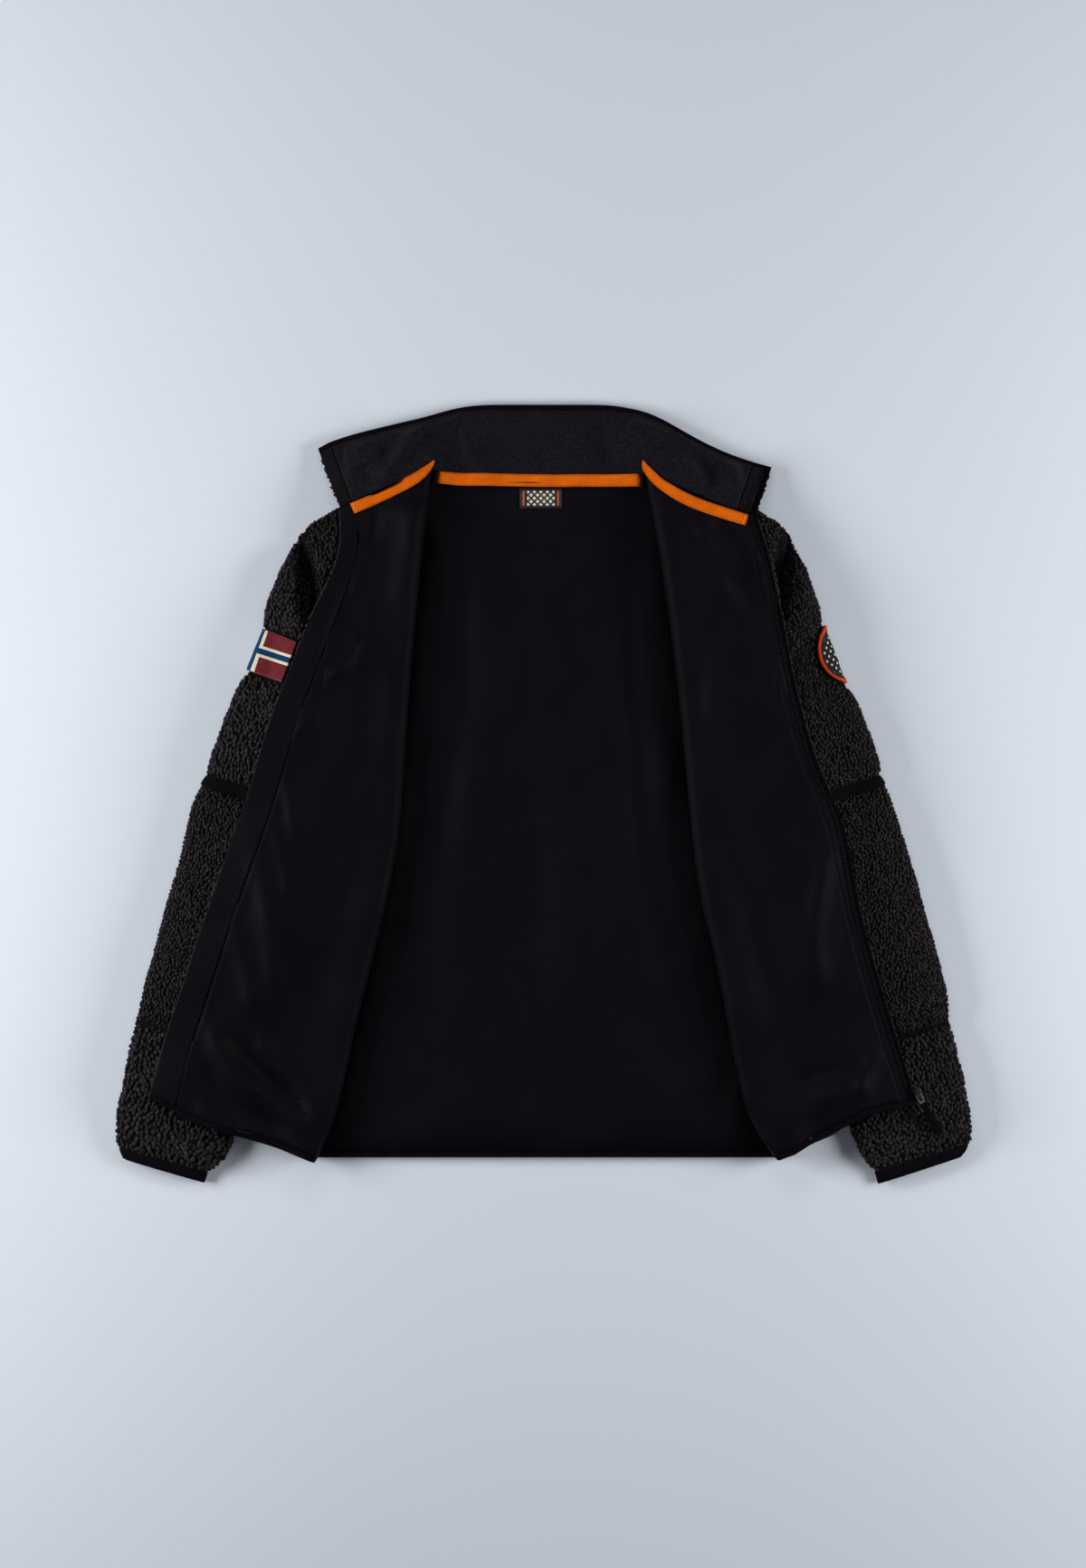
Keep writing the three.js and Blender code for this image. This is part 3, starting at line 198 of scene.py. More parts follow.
def smooth_path(points, step):
    """A rounded line through plan points, with a point every step metres."""
    knots = [np.array(p, float) for p in points]
    knots = [2 * knots[0] - knots[1], *knots, 2 * knots[-1] - knots[-2]]
    fine = []
    for a, b, c, d in zip(knots, knots[1:], knots[2:], knots[3:]):
        for t in np.linspace(0, 1, 24, endpoint=False):
            bend, twist = 2 * a - 5 * b + 4 * c - d, 3 * b - a - 3 * c + d
            fine.append(0.5 * (2 * b + (c - a) * t + bend * t**2 + twist * t**3))
    fine = np.array([*fine, knots[-2]])
    return resampled(fine, step, 0)


def run_along(path):
    """The distance walked to each point of a line."""
    return np.concatenate([[0], np.cumsum(np.linalg.norm(np.diff(path, axis=0), axis=1))])


def resampled(path, step, first=None):
    """The same line with a point every step metres, the first one half a step in."""
    runs = run_along(path)
    stops = np.arange(step / 2 if first is None else first, runs[-1], step)
    return np.stack([np.interp(stops, runs, path[:, k]) for k in range(path.shape[1])], axis=1)


def headings(path):
    """The plan direction of a line at each of its points, a unit long."""
    ahead = np.gradient(path[:, :2], axis=0)
    return ahead / np.linalg.norm(ahead, axis=1)[:, None]


def offset_path(path, distance):
    """The same plan line moved sideways, to its right where distance is positive."""
    ahead = headings(path)
    moved = path.copy()
    moved[:, 0] += ahead[:, 1] * distance
    moved[:, 1] -= ahead[:, 0] * distance
    return moved


# ---- pieces -------------------------------------------------------------------------------------
def select_only(*pieces):
    bpy.ops.object.select_all(action="DESELECT")
    for piece in pieces:
        piece.select_set(True)
    bpy.context.view_layer.objects.active = pieces[0]


def places(piece, kind="co"):
    """A mesh's points as an array."""
    flat = np.empty(len(piece.data.vertices) * 3)
    piece.data.vertices.foreach_get(kind, flat)
    return flat.reshape(-1, 3)


def facings(piece):
    return places(piece, "normal")


def move_to(piece, points):
    piece.data.vertices.foreach_set("co", np.ascontiguousarray(points, float).ravel())
    piece.data.update()


@contextmanager
def editing(piece):
    """Edit mode on one piece with all of it selected, and object mode again afterwards."""
    select_only(piece)
    bpy.ops.object.mode_set(mode="EDIT")
    bpy.ops.mesh.select_all(action="SELECT")
    yield
    bpy.ops.object.mode_set(mode="OBJECT")


def copy_of(node, name):
    """A welded copy of a solid, with its triangles paired back into quads."""
    piece = bpy.data.objects.new(name, frame["nodes"][node].data.copy())
    piece.data.name = name
    piece.data.materials.clear()
    bpy.context.scene.collection.objects.link(piece)
    with editing(piece):
        bpy.ops.mesh.remove_doubles(threshold=WELD)
        bpy.ops.mesh.tris_convert_to_quads(
            face_threshold=math.radians(60), shape_threshold=math.radians(80)
        )
    return piece


def apply_modifier(piece, kind, **settings):
    select_only(piece)
    made = piece.modifiers.new(kind.title(), kind)
    for key, value in settings.items():
        setattr(made, key, value)
    bpy.ops.object.modifier_apply(modifier=made.name)


def soften(piece, levels, sharp):
    """Rounds a piece's surface and keeps its cut edges crisp."""
    select_only(piece)
    bpy.ops.object.mode_set(mode="EDIT")
    bpy.ops.mesh.select_mode(type="EDGE")
    bpy.ops.mesh.select_all(action="DESELECT")
    bpy.ops.mesh.edges_select_sharp(sharpness=math.radians(sharp))
    bpy.ops.transform.edge_crease(value=1)
    bpy.ops.mesh.select_mode(type="VERT")
    bpy.ops.object.mode_set(mode="OBJECT")
    apply_modifier(piece, "SUBSURF", levels=levels, render_levels=levels)
    finish_shading(piece)


def finish_shading(piece):
    select_only(piece)
    bpy.ops.object.shade_smooth_by_angle(angle=math.radians(55))


def cloth_piece(node, material, levels, sharp=40, shape=None, grow=0.0):
    """A refined copy of a solid that stands for it, with its own material."""
    piece = copy_of(node, node + "_cloth")
    soften(piece, levels, sharp)
    if grow:
        move_to(piece, places(piece) + facings(piece) * grow)
    if shape:
        move_to(piece, shape(places(piece), facings(piece)))
    piece.data.materials.append(material)
    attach(piece, GARMENT)
    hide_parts(node)
    return piece


def mesh_piece(name, points, faces, material):
    """A piece from points and faces in metres."""
    mesh = bpy.data.meshes.new(name)
    mesh.from_pydata(points, [], faces)
    mesh.polygons.foreach_set("use_smooth", np.ones(len(mesh.polygons), bool))
    mesh.update()
    mesh.materials.append(material)
    piece = bpy.data.objects.new(name, mesh)
    bpy.context.scene.collection.objects.link(piece)
    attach(piece, GARMENT)
    return piece


def repeat(name, pattern, placings, material, shades=None):
    """Copies of one small mesh, joined. A placing is a 3 x 4 matrix; shades are each copy's own tone, and
    that tone is darkened towards the copy's foot as painted crevice shade.
    """
    points = places(pattern)
    faces = [list(polygon.vertices) for polygon in pattern.data.polygons]
    turned = np.einsum("kij,pj->kpi", placings[:, :, :3], points) + placings[:, None, :, 3]
    count = len(points)
    all_faces = [[index + k * count for index in face] for k in range(len(placings)) for face in faces]
    piece = mesh_piece(name, turned.reshape(-1, 3).tolist(), all_faces, material)
    if shades is not None:
        layer = piece.data.attributes.new("shade", "FLOAT", "POINT")
        # Painted crevice shade: each copy's colour darkens from its top down to its foot.
        foot = smooth(-0.16, 0.25, points[:, 2]) ** 1.3
        layer.data.foreach_set("value", np.ascontiguousarray(shades[:, None] * foot).ravel())
    return piece


def drop_pattern(pattern):
    bpy.data.objects.remove(pattern)


def tree_of(*objects):
    """One search tree over the surfaces of several objects."""
    points, faces = [], []
    for item in objects:
        base = len(points)
        points.extend(vertex.co.copy() for vertex in item.data.vertices)
        faces.extend([index + base for index in polygon.vertices] for polygon in item.data.polygons)
    return BVHTree.FromPolygons(points, faces)


def top_under(tree, x, y, fallback=0.0):
    """Height and facing of the highest surface at a plan point."""
    spot, facing, _, _ = tree.ray_cast(Vector((x, y, 0.5)), Vector((0, 0, -1)))
    if spot is None:
        return fallback, Vector((0, 0, 1))
    return spot.z, facing if facing.z > 0 else -facing


# ---- materials ----------------------------------------------------------------------------------
class Recipe:
    """Adds nodes to a material or a node group and wires them up."""

    def __init__(self, tree):
        self.tree = tree

    def node(self, kind, **settings):
        made = self.tree.nodes.new(kind)
        for key, value in settings.items():
            setattr(made, key, value)
        return made

    def plug(self, value, socket):
        if isinstance(value, bpy.types.NodeSocket):
            self.tree.links.new(value, socket)
        else:
            socket.default_value = value

    def math(self, operation, *values):
        made = self.node("ShaderNodeMath", operation=operation)
        for value, socket in zip(values, made.inputs):
            self.plug(value, socket)
        return made.outputs[0]

    def blend(self, share, low, high):
        made = self.node("ShaderNodeMix", data_type="RGBA")
        for value, socket in zip((share, low, high), (made.inputs[0], made.inputs[6], made.inputs[7])):
            self.plug(value, socket)
        return made.outputs[2]

    def noise(self, vector, scale, detail=2.0):
        made = self.node("ShaderNodeTexNoise")
        self.plug(vector, made.inputs["Vector"])
        self.plug(scale, made.inputs["Scale"])
        made.inputs["Detail"].default_value = detail
        return made.outputs["Fac"]


def colour(red, green, blue):
    return (red, green, blue, 1.0)


def grain_group():
    """Cloth grain: an uneven shade and a fine relief, both from Object coordinates."""
    name = "Cloth grain"
    if name in bpy.data.node_groups:
        return bpy.data.node_groups[name]
    group = bpy.data.node_groups.new(name, "ShaderNodeTree")
    group.interface.new_socket("Vector", in_out="INPUT", socket_type="NodeSocketVector")
    for socket, usual in (("Fine scale", 900), ("Coarse scale", 120)):
        made = group.interface.new_socket(socket, in_out="INPUT", socket_type="NodeSocketFloat")
        made.default_value = usual
    for socket in ("Shade", "Height"):
        group.interface.new_socket(socket, in_out="OUTPUT", socket_type="NodeSocketFloat")
    recipe = Recipe(group)
    given = recipe.node("NodeGroupInput").outputs
    result = recipe.node("NodeGroupOutput").inputs
    broad = recipe.noise(given["Vector"], given["Coarse scale"], 3.0)
    close = recipe.noise(given["Vector"], given["Fine scale"], 2.0)
    mixed = recipe.math("ADD", recipe.math("MULTIPLY", broad, 0.65), recipe.math("MULTIPLY", close, 0.35))
    recipe.plug(recipe.math("MULTIPLY_ADD", recipe.math("SUBTRACT", mixed, 0.5), 2.4, 0.5), result["Shade"])
    recipe.plug(close, result["Height"])
    return group


def new_material(name, base, roughness, specular=0.3, metallic=0.0, sheen=0.0):
    made = bpy.data.materials.new(name)
    made.use_nodes = True
    shader = made.node_tree.nodes["Principled BSDF"]
    shader.inputs["Base Color"].default_value = base
    shader.inputs["Roughness"].default_value = roughness
    shader.inputs["Metallic"].default_value = metallic
    shader.inputs["Specular IOR Level"].default_value = specular
    shader.inputs["Sheen Weight"].default_value = sheen
    shader.inputs["Sheen Roughness"].default_value = 0.45
    made.diffuse_color = base
    return Recipe(made.node_tree), shader


def grain_of(recipe, fine, coarse):
    place = recipe.node("ShaderNodeTexCoord").outputs["Object"]
    grain = recipe.node("ShaderNodeGroup", node_tree=grain_group())
    recipe.plug(place, grain.inputs["Vector"])
    grain.inputs["Fine scale"].default_value = fine
    grain.inputs["Coarse scale"].default_value = coarse
    return grain.outputs["Shade"], grain.outputs["Height"]


def relief(recipe, shader, height, depth):
    bump = recipe.node("ShaderNodeBump")
    bump.inputs["Strength"].default_value = 1.0
    bump.inputs["Distance"].default_value = depth
    recipe.plug(height, bump.inputs["Height"])
    recipe.plug(bump.outputs["Normal"], shader.inputs["Normal"])


def cloth_material(name):
    """Plain cloth whose colour drifts between dark and light, with a fine relief."""
    dark, light, fine, coarse, depth, roughness, specular, sheen = CLOTHS[name]
    recipe, shader = new_material(name, light, roughness, specular, sheen=sheen)
    shade, height = grain_of(recipe, fine, coarse)
    if name == "Pile curls":
        # The curls' 'shade' attribute: each lump's own random tone times painted crevice shade that darkens
        # it towards its foot.
        own = recipe.node("ShaderNodeAttribute", attribute_name="shade").outputs["Fac"]
        shade = recipe.math("MULTIPLY", own, recipe.math("MULTIPLY_ADD", shade, 0.5, 0.6))
    recipe.plug(recipe.blend(shade, dark, light), shader.inputs["Base Color"])
    relief(recipe, shader, height, depth * MM)


def plain_finish(name):
    base, roughness, specular, fine, coarse, depth = PLAIN[name]
    recipe, shader = new_material(name, base, roughness, specular)
    _, height = grain_of(recipe, fine, coarse)
    relief(recipe, shader, height, depth * MM)


# Plain cloths: dark and light colour, then fine and coarse grain, relief in mm, roughness, specular
# and sheen.
CLOTHS = {
    # Pile curls: each lump runs from the light colour at its top to the dark one at its foot as painted
    # crevice shade, scaled by its own random tone.
    "Pile curls": (
        colour(0.0011, 0.0009, 0.0009), colour(0.0285, 0.0236, 0.0242), 1500, 260, 0.4, 0.7, 0.12, 0.06,
    ),
    # Pile ground: the ground cloth's own dark colour, partly painted shade: it is kept far darker than the
    # curls so that gaps between lumps and bare strips at seams and patches read as shade.
    "Pile ground": (
        colour(0.0018, 0.0018, 0.0019), colour(0.008, 0.008, 0.0078), 900, 200, 1.2, 0.95, 0.04, 0.01,
    ),
    "Smooth lining": (
        colour(0.0028, 0.0021, 0.0038), colour(0.0049, 0.0037, 0.0065), 1600, 22, 0.12, 0.62, 0.04, 0.006,
    ),
    "Microfleece": (
        colour(0.0032, 0.0027, 0.0042), colour(0.0145, 0.0128, 0.0178), 620, 300, 1.4, 0.92, 0.05, 0.03,
    ),
    "Flat binding": (
        colour(0.0022, 0.0017, 0.0029), colour(0.0042, 0.0033, 0.0056), 1400, 90, 0.15, 0.75, 0.025, 0.004,
    ),
    "Zip cloth": (
        colour(0.0011, 0.001, 0.0014), colour(0.0022, 0.0019, 0.0028), 1400, 90, 0.1, 0.8, 0.02, 0.0,
    ),
    "Fleece band": (
        colour(0.0013, 0.0011, 0.0012), colour(0.005, 0.0043, 0.0043), 800, 420, 1.0, 0.95, 0.05, 0.02,
    ),
    "Guard cloth": (
        colour(0.004, 0.0034, 0.005), colour(0.0068, 0.0058, 0.0084), 1400, 60, 0.12, 0.7, 0.06, 0.015,
    ),
}
# Plain finishes: colour, roughness, specular, fine and coarse grain, and relief in mm.
PLAIN = {
    # Black thread: its own black, made darker than the cloth so its rows also carry painted shade of the
    # stitch grooves.
    "Black thread": (colour(0.0016, 0.0013, 0.0019), 0.7, 0.06, 2600, 400, 0.1),
    # Orange thread: darkened well below the tape's orange as painted shade of the stitch holes.
    "Orange thread": (colour(0.34, 0.05, 0.002), 0.7, 0.06, 2600, 400, 0.1),
    "Bright thread": (colour(0.92, 0.26, 0.03), 0.7, 0.06, 2600, 400, 0.1),
    "Burgundy thread": (colour(0.2, 0.06, 0.062), 0.7, 0.06, 2600, 400, 0.1),
    "Zip teeth": (colour(0.0055, 0.005, 0.006), 0.6, 0.08, 1800, 220, 0.03),
    "Strap rubber": (colour(0.0016, 0.0015, 0.0017), 0.6, 0.05, 1800, 300, 0.06),
}


def material(name):
    """Each finish is made once and shared."""
    if name not in bpy.data.materials:
        FINISHES[name](name)
    return bpy.data.materials[name]


def zip_metal(name):
    recipe, shader = new_material(name, colour(0.30, 0.30, 0.31), 0.34, 0.5, metallic=1.0)
    shade, height = grain_of(recipe, 1800, 220)
    recipe.plug(recipe.math("MULTIPLY_ADD", shade, 0.22, 0.26), shader.inputs["Roughness"])
    relief(recipe, shader, height, 0.04 * MM)


def slider_enamel(name):
    recipe, shader = new_material(name, colour(0.012, 0.012, 0.013), 0.45, 0.25)
    shade, height = grain_of(recipe, 1500, 300)
    recipe.plug(
        recipe.blend(shade, colour(0.009, 0.009, 0.01), colour(0.016, 0.016, 0.017)),
        shader.inputs["Base Color"],
    )
    relief(recipe, shader, height, 0.04 * MM)


def woven_tape(name):
    """Twill tape: diagonal ribs in the tape's own lay map, with a darker line at the ribs."""
    recipe, shader = new_material(name, colour(0.8, 0.15, 0.003), 0.75, 0.06)
    lay = recipe.node("ShaderNodeUVMap", uv_map="Lay").outputs["UV"]
    wave = recipe.node("ShaderNodeTexWave", wave_type="BANDS", bands_direction="DIAGONAL")
    recipe.plug(lay, wave.inputs["Vector"])
    wave.inputs["Scale"].default_value = 190
    wave.inputs["Distortion"].default_value = 0.6
    shade, _ = grain_of(recipe, 1500, 60)
    worn = recipe.blend(shade, colour(0.6, 0.1, 0.002), colour(0.88, 0.17, 0.003))
    ribs = recipe.math("MULTIPLY_ADD", wave.outputs["Fac"], 0.3, 0.7)
    recipe.plug(recipe.blend(ribs, colour(0.36, 0.055, 0.001), worn), shader.inputs["Base Color"])
    relief(recipe, shader, wave.outputs["Fac"], 0.2 * MM)


def within(recipe, value, centre, reach):
    """1 where a value is no further than reach from centre."""
    return recipe.math("COMPARE", value, centre, reach)


def lay_axes(recipe):
    lay = recipe.node("ShaderNodeUVMap", uv_map="Lay").outputs["UV"]
    split = recipe.node("ShaderNodeSeparateXYZ")
    recipe.plug(lay, split.inputs[0])
    return split.outputs[0], split.outputs[1]


def woven_flag(name):
    """Red field with a white-edged blue cross, in flag units of 22 by 16."""
    recipe, shader = new_material(name, colour(0.16, 0.03, 0.036), 0.8, 0.08)
    across, up = lay_axes(recipe)
    blue = recipe.math("MAXIMUM", within(recipe, across, 8, 1), within(recipe, up, 8, 1))
    white = recipe.math("MAXIMUM", within(recipe, across, 8, 2), within(recipe, up, 8, 2))
    shade, height = grain_of(recipe, 1700, 160)
    red = recipe.blend(shade, colour(0.1, 0.012, 0.016), colour(0.15, 0.022, 0.028))
    field = recipe.blend(white, red, colour(0.66, 0.58, 0.43))
    cross = recipe.blend(blue, field, colour(0.002, 0.034, 0.1))
    edging = recipe.math("GREATER_THAN", recipe.math("ABSOLUTE", recipe.math("SUBTRACT", up, 8)), 7.6)
    recipe.plug(recipe.blend(edging, cross, colour(0.2, 0.06, 0.062)), shader.inputs["Base Color"])
    relief(recipe, shader, height, 0.15 * MM)


def lattice(recipe, across, up, pitch, size):
    """1 inside small diamonds that are spread all over in staggered rows."""
    apart = recipe.math(
        "ADD", recipe.math("PINGPONG", across, pitch / 2), recipe.math("PINGPONG", up, pitch / 2)
    )
    even = recipe.math("LESS_THAN", apart, size / 2)
    odd = recipe.math("GREATER_THAN", apart, pitch - size / 2)
    return recipe.math("MAXIMUM", even, odd)


def woven_label(name):
    """Dark label with staggered cream diamonds and an orange bar at each end, in mm."""
    recipe, shader = new_material(name, colour(0.02, 0.02, 0.022), 0.75, 0.2)
    across, up = lay_axes(recipe)
    aside = recipe.math("ABSOLUTE", across)
    rows = recipe.math("LESS_THAN", recipe.math("ABSOLUTE", up), 7.5)
    field = recipe.math("MULTIPLY", rows, recipe.math("LESS_THAN", aside, 14))
    cream = recipe.math("MULTIPLY", field, lattice(recipe, across, up, 6.6, 4.0))
    bars = recipe.math("MULTIPLY", rows, within(recipe, aside, 17.6, 0.9))
    shade, height = grain_of(recipe, 1700, 200)
    ground = recipe.blend(shade, colour(0.016, 0.016, 0.018), colour(0.026, 0.026, 0.028))
    patterned = recipe.blend(cream, ground, colour(0.66, 0.6, 0.48))
    recipe.plug(recipe.blend(bars, patterned, colour(0.5, 0.09, 0.02)), shader.inputs["Base Color"])
    relief(recipe, shader, height, 0.15 * MM)


def moulded_badge(name):
    """Dark disc with an orange rim and staggered cream diamonds all over, in mm from its middle."""
    recipe, shader = new_material(name, colour(0.012, 0.012, 0.014), 0.7, 0.1)
    across, up = lay_axes(recipe)
    squares = [recipe.math("POWER", side, 2) for side in (across, up)]
    reach = recipe.math("SQRT", recipe.math("ADD", *squares))
    rim = recipe.math("GREATER_THAN", reach, 27.4)
    inside = recipe.math("LESS_THAN", reach, 24.5)
    cream = recipe.math("MULTIPLY", inside, lattice(recipe, across, up, 9.0, 3.2))
    shade, height = grain_of(recipe, 1500, 200)
    disc = recipe.blend(shade, colour(0.008, 0.0085, 0.0105), colour(0.015, 0.016, 0.019))
    marked = recipe.blend(cream, disc, colour(0.62, 0.54, 0.4))
    recipe.plug(recipe.blend(rim, marked, colour(0.56, 0.048, 0.008)), shader.inputs["Base Color"])
    relief(recipe, shader, height, 0.1 * MM)


def pale_floor(name):
    recipe, shader = new_material(name, colour(0.68, 0.72, 0.79), 0.9, 0.1)
    shade, _ = grain_of(recipe, 3, 1)
    recipe.plug(
        recipe.blend(shade, colour(0.66, 0.712, 0.795), colour(0.676, 0.728, 0.81)),
        shader.inputs["Base Color"],
    )


FINISHES = {
    **dict.fromkeys(CLOTHS, cloth_material),
    **dict.fromkeys(PLAIN, plain_finish),
    "Woven tape": woven_tape,
    "Woven flag": woven_flag,
    "Woven label": woven_label,
    "Moulded badge": moulded_badge,
    "Zip metal": zip_metal,
    "Slider enamel": slider_enamel,
    "Pale floor": pale_floor,
}


# ---- settings -----------------------------------------------------------------------------------
class JacketCloth(bpy.types.PropertyGroup):
    fold_share: bpy.props.FloatProperty(
        name="Folds", description="How strongly the linings and the collar fold",
        default=1.0, min=0.0, max=2.0,
    )
    sleeve_waves: bpy.props.FloatProperty(
        name="Sleeve waves", description="Unevenness of the sleeves", default=0.0010, unit="LENGTH"
    )
    pile_sink: bpy.props.FloatProperty(
        name="Pile depth", description="How far the ground cloth lies below the pile's tips",
        default=0.0016, unit="LENGTH",
    )


class JacketPile(bpy.types.PropertyGroup):
    spacing: bpy.props.FloatProperty(
        name="Lump spacing", description="Scales the distance between two lumps of pile",
        default=1.0, min=0.8,
    )
    length: bpy.props.FloatProperty(
        name="Lump size", description="Scales the lumps of pile", default=1.0, min=0.2, max=2.0
    )
    seed: bpy.props.IntProperty(name="Seed", description="Picks where the curls fall", default=7)


class JacketSewing(bpy.types.PropertyGroup):
    stitch: bpy.props.FloatProperty(
        name="Stitch length", description="Length of one stitch and its gap", default=0.0031, unit="LENGTH"
    )
    thread: bpy.props.FloatProperty(
        name="Thread", description="Thickness of the sewing thread", default=0.0007, unit="LENGTH"
    )
    tooth_pitch: bpy.props.FloatProperty(
        name="Tooth pitch", description="Distance between two zip teeth", default=0.0026, unit="LENGTH"
    )


class JacketStage(bpy.types.PropertyGroup):
    lens: bpy.props.FloatProperty(name="Lens", description="Camera lens in mm", default=85.0)
    tall: bpy.props.FloatProperty(
        name="View height", description="How much of the floor the camera sees",
        default=1.5944, unit="LENGTH",
    )
    key: bpy.props.FloatProperty(
        name="Key light", description="Watts of the light on the left", default=44.0
    )
    back: bpy.props.FloatProperty(name="Back light", description="Watts beyond the collar", default=14.0)
    top: bpy.props.FloatProperty(name="Top light", description="Watts of the light overhead", default=9.0)
    fill: bpy.props.FloatProperty(name="Fill", description="Strength of the even light", default=0.02)


FLAP_STEP = 1.8 * MM  # how far the lining rises to the wind flap's edge
FLAP_REACH = 0.016  # how far from the flap that rise starts
ZIP_SEAM_IN = 8.3 * MM  # from the zip edge to the seam on its tape
TEETH_IN = 5.5 * MM  # from the zip edge to the middle of the teeth
ARMHOLE_DEPTH = 8.5 * MM

# Where the fronts fold over, across by along: the back lining lies flat beyond it.
CREST = np.array(((236, -370), (212, -344), (172, -158), (145, 20), (119, 234), (102, 331))) * MM


# ---- back ---------------------------------------------------------------------------------------
class JACKET_OT_back(bpy.types.Operator):
    """Back panel, its lining and its hem"""

    bl_idname = "jacket.back"
    bl_label = "Back"

    def execute(self, context):
        folds = context.scene.jacket_cloth.fold_share
        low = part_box("back_shell")[0]

        def lining(points, _):
            x, y = points[:, 0], points[:, 1]
            lift = 0.0056 + 1.9 * ridge_lift(BACK_FOLDS, x, y, 1.5) + 0.0013 * undulation(x, y, 0.12, 3)
            lift = np.maximum(lift, 0)
            calm = smooth(low.y, low.y + 0.016, y) * (1 - smooth(0.262, 0.29, y))
            reach = np.interp(y, CREST[:, 1], CREST[:, 0])
            calm *= 1 - smooth(reach - 0.008, reach + 0.012, np.abs(x))
            points[:, 2] += folds * calm * lift
            return points

        cloth_piece("back_shell", material("Pile ground"), 2)
        cloth_piece("back_lining", material("Smooth lining"), 2, shape=lining)
        cloth_piece("hem_binding_back", material("Flat binding"), 2)
        return {"FINISHED"}


# ---- fronts -------------------------------------------------------------------------------------
def front_shape(side, points, folds=1.0):
    """The turned-open layer of a front, with its folds and its bowed hem."""
    x, y, z = points.T
    upper = smooth(0.0165, 0.022, z)
    neck = 1 - smooth(0.285, 0.32, y)
    lift = 0.006 + 1.75 * ridge_lift(FRONT_FOLDS[side], x, y, 1.25)
    lift += 0.0013 * undulation(x, y, 0.1, 11 if side == "left" else 12)
    (x0, y0), (x1, y1) = np.array(HEM_LINE[side]) * MM
    above = y - (y0 + (x - x0) * (y1 - y0) / (x1 - x0))
    across, shift = np.array(HEM_SWAY[side]).T * MM
    points[:, 1] += upper * (1 - smooth(0.004, 0.075, above)) * np.interp(x, across, shift)
    points[:, 2] += folds * upper * neck * np.maximum(lift, 0)
    return points


class JACKET_OT_fronts(bpy.types.Operator):
    """Both fronts: pile side, lining, hem, zip tape and wind flap"""

    bl_idname = "jacket.fronts"
    bl_label = "Fronts"

    def execute(self, context):
        folds = context.scene.jacket_cloth.fold_share
        finishes = {
            "front_lining": ("Smooth lining", 3, 0),
            "hem_binding": ("Flat binding", 3, 0.25 * MM),
            "zip_tape": ("Zip cloth", 3, 0.2 * MM),
        }
        for side in ("left", "right"):
            hollow = armhole_hollow(side, "front_shell_" + side)

            def fold(points, _, side=side):
                return front_shape(side, points, folds)

            def lining(points, normals, fold=fold):
                points = fold(points, normals)
                tree = tree_of(frame["nodes"]["wind_flap"])
                for k in np.flatnonzero((points[:, 0] < -0.15) & (points[:, 2] > 0.022)):
                    spot, _, _, distance = tree.find_nearest(Vector(points[k]), FLAP_REACH)
                    if spot is not None and points[k, 0] - spot.x > 0.0004:
                        points[k, 2] += FLAP_STEP * (1 - smooth(0.0025, FLAP_REACH, distance))
                return points

            def shell(points, normals, side=side, hollow=hollow):
                return front_shape(side, hollow(points, normals), folds)

            cloth_piece("front_shell_" + side, material("Pile ground"), 2, shape=shell)
            for node, (finish, levels, grow) in finishes.items():
                shape = lining if node == "front_lining" else fold
                cloth_piece(f"{node}_{side}", material(finish), levels, shape=shape, grow=grow)
            if side == "left":
                inner = offset_path(smooth_path(ZIP_EDGE, 4 * MM), -ZIP_SEAM_IN) / MM
                two_toned(bpy.data.objects["zip_tape_left_cloth"], "Smooth lining", inner, -1)
            else:
                cloth_piece("wind_flap", material("Smooth lining"), 3, shape=fold, grow=0.3 * MM)
        return {"FINISHED"}


# ---- sleeves ------------------------------------------------------------------------------------
# The way each sleeve runs, from the armhole to the cuff.
SLEEVE_RUN = {
    "left": Vector((0.31, -0.95, 0)).normalized(),
    "right": Vector((-0.31, -0.95, 0)).normalized(),
}


def armhole_hollow(side, node):
    """Moves a piece's open surface down along the armhole seam, and closes the seam's slit."""
    line = smooth_path(np.array(ARMHOLE) * MM * np.array((1 if side == "left" else -1, 1)), 3 * MM)
    own = "sleeve_upper_" + side
    facing_node = "front_shell_" + side if node == own else own
    covers = tree_of(*[solid for name, solid in frame["nodes"].items() if name not in (node, facing_node)])
    mate = tree_of(frame["nodes"][facing_node])

    def shape(points, normals):
        gaps = np.hypot(points[:, 0, None] - line[:, 0], points[:, 1, None] - line[:, 1]).min(axis=1)
        for k in np.flatnonzero(gaps < 0.03):
            spot = Vector(points[k])
            if covers.ray_cast(spot + Vector((0, 0, 0.4 * MM)), Vector((0, 0, 1)), 0.05)[0] is None:
                near = 1 - smooth(0.001, 0.015, gaps[k])
                points[k, 2] -= ARMHOLE_DEPTH * near * smooth(0.006, 0.018, points[k, 2])
            spot, _, _, distance = mate.find_nearest(spot, 4.5 * MM)
            if distance is not None and distance > 1e-6:
                points[k, :2] += (np.array(spot) - points[k])[:2] * (0.5 + 0.8 * MM / distance)
        return points

    return shape


def close_seams(points, mates, reach, overlap):
    """Moves a piece's edges into the pieces sewn on there, so that no seam stands open."""
    tree = tree_of(*[frame["nodes"][mate] for mate in mates])
    for k, point in enumerate(points):
        spot, _, _, distance = tree.find_nearest(Vector(point), reach)
        if distance is not None and distance > 1e-6:
            points[k] += (np.array(spot) - point) * (1 + overlap / distance)
    return points


def seam_gap(piece, reach, own):
    """Each point's distance to the pieces next to it, up to reach."""
    others = tree_of(*[solid for name, solid in frame["nodes"].items() if name != own])
    found = []
    for point in places(piece):
        _, _, _, distance = others.find_nearest(Vector(point), reach)
        found.append(reach if distance is None else distance)
    return np.array(found)


SEWN_TO = {
    "upper": ("elbow_band",),
    "forearm": ("elbow_band", "sleeve_lower"),
    "lower": ("sleeve_forearm", "cuff_binding"),
}


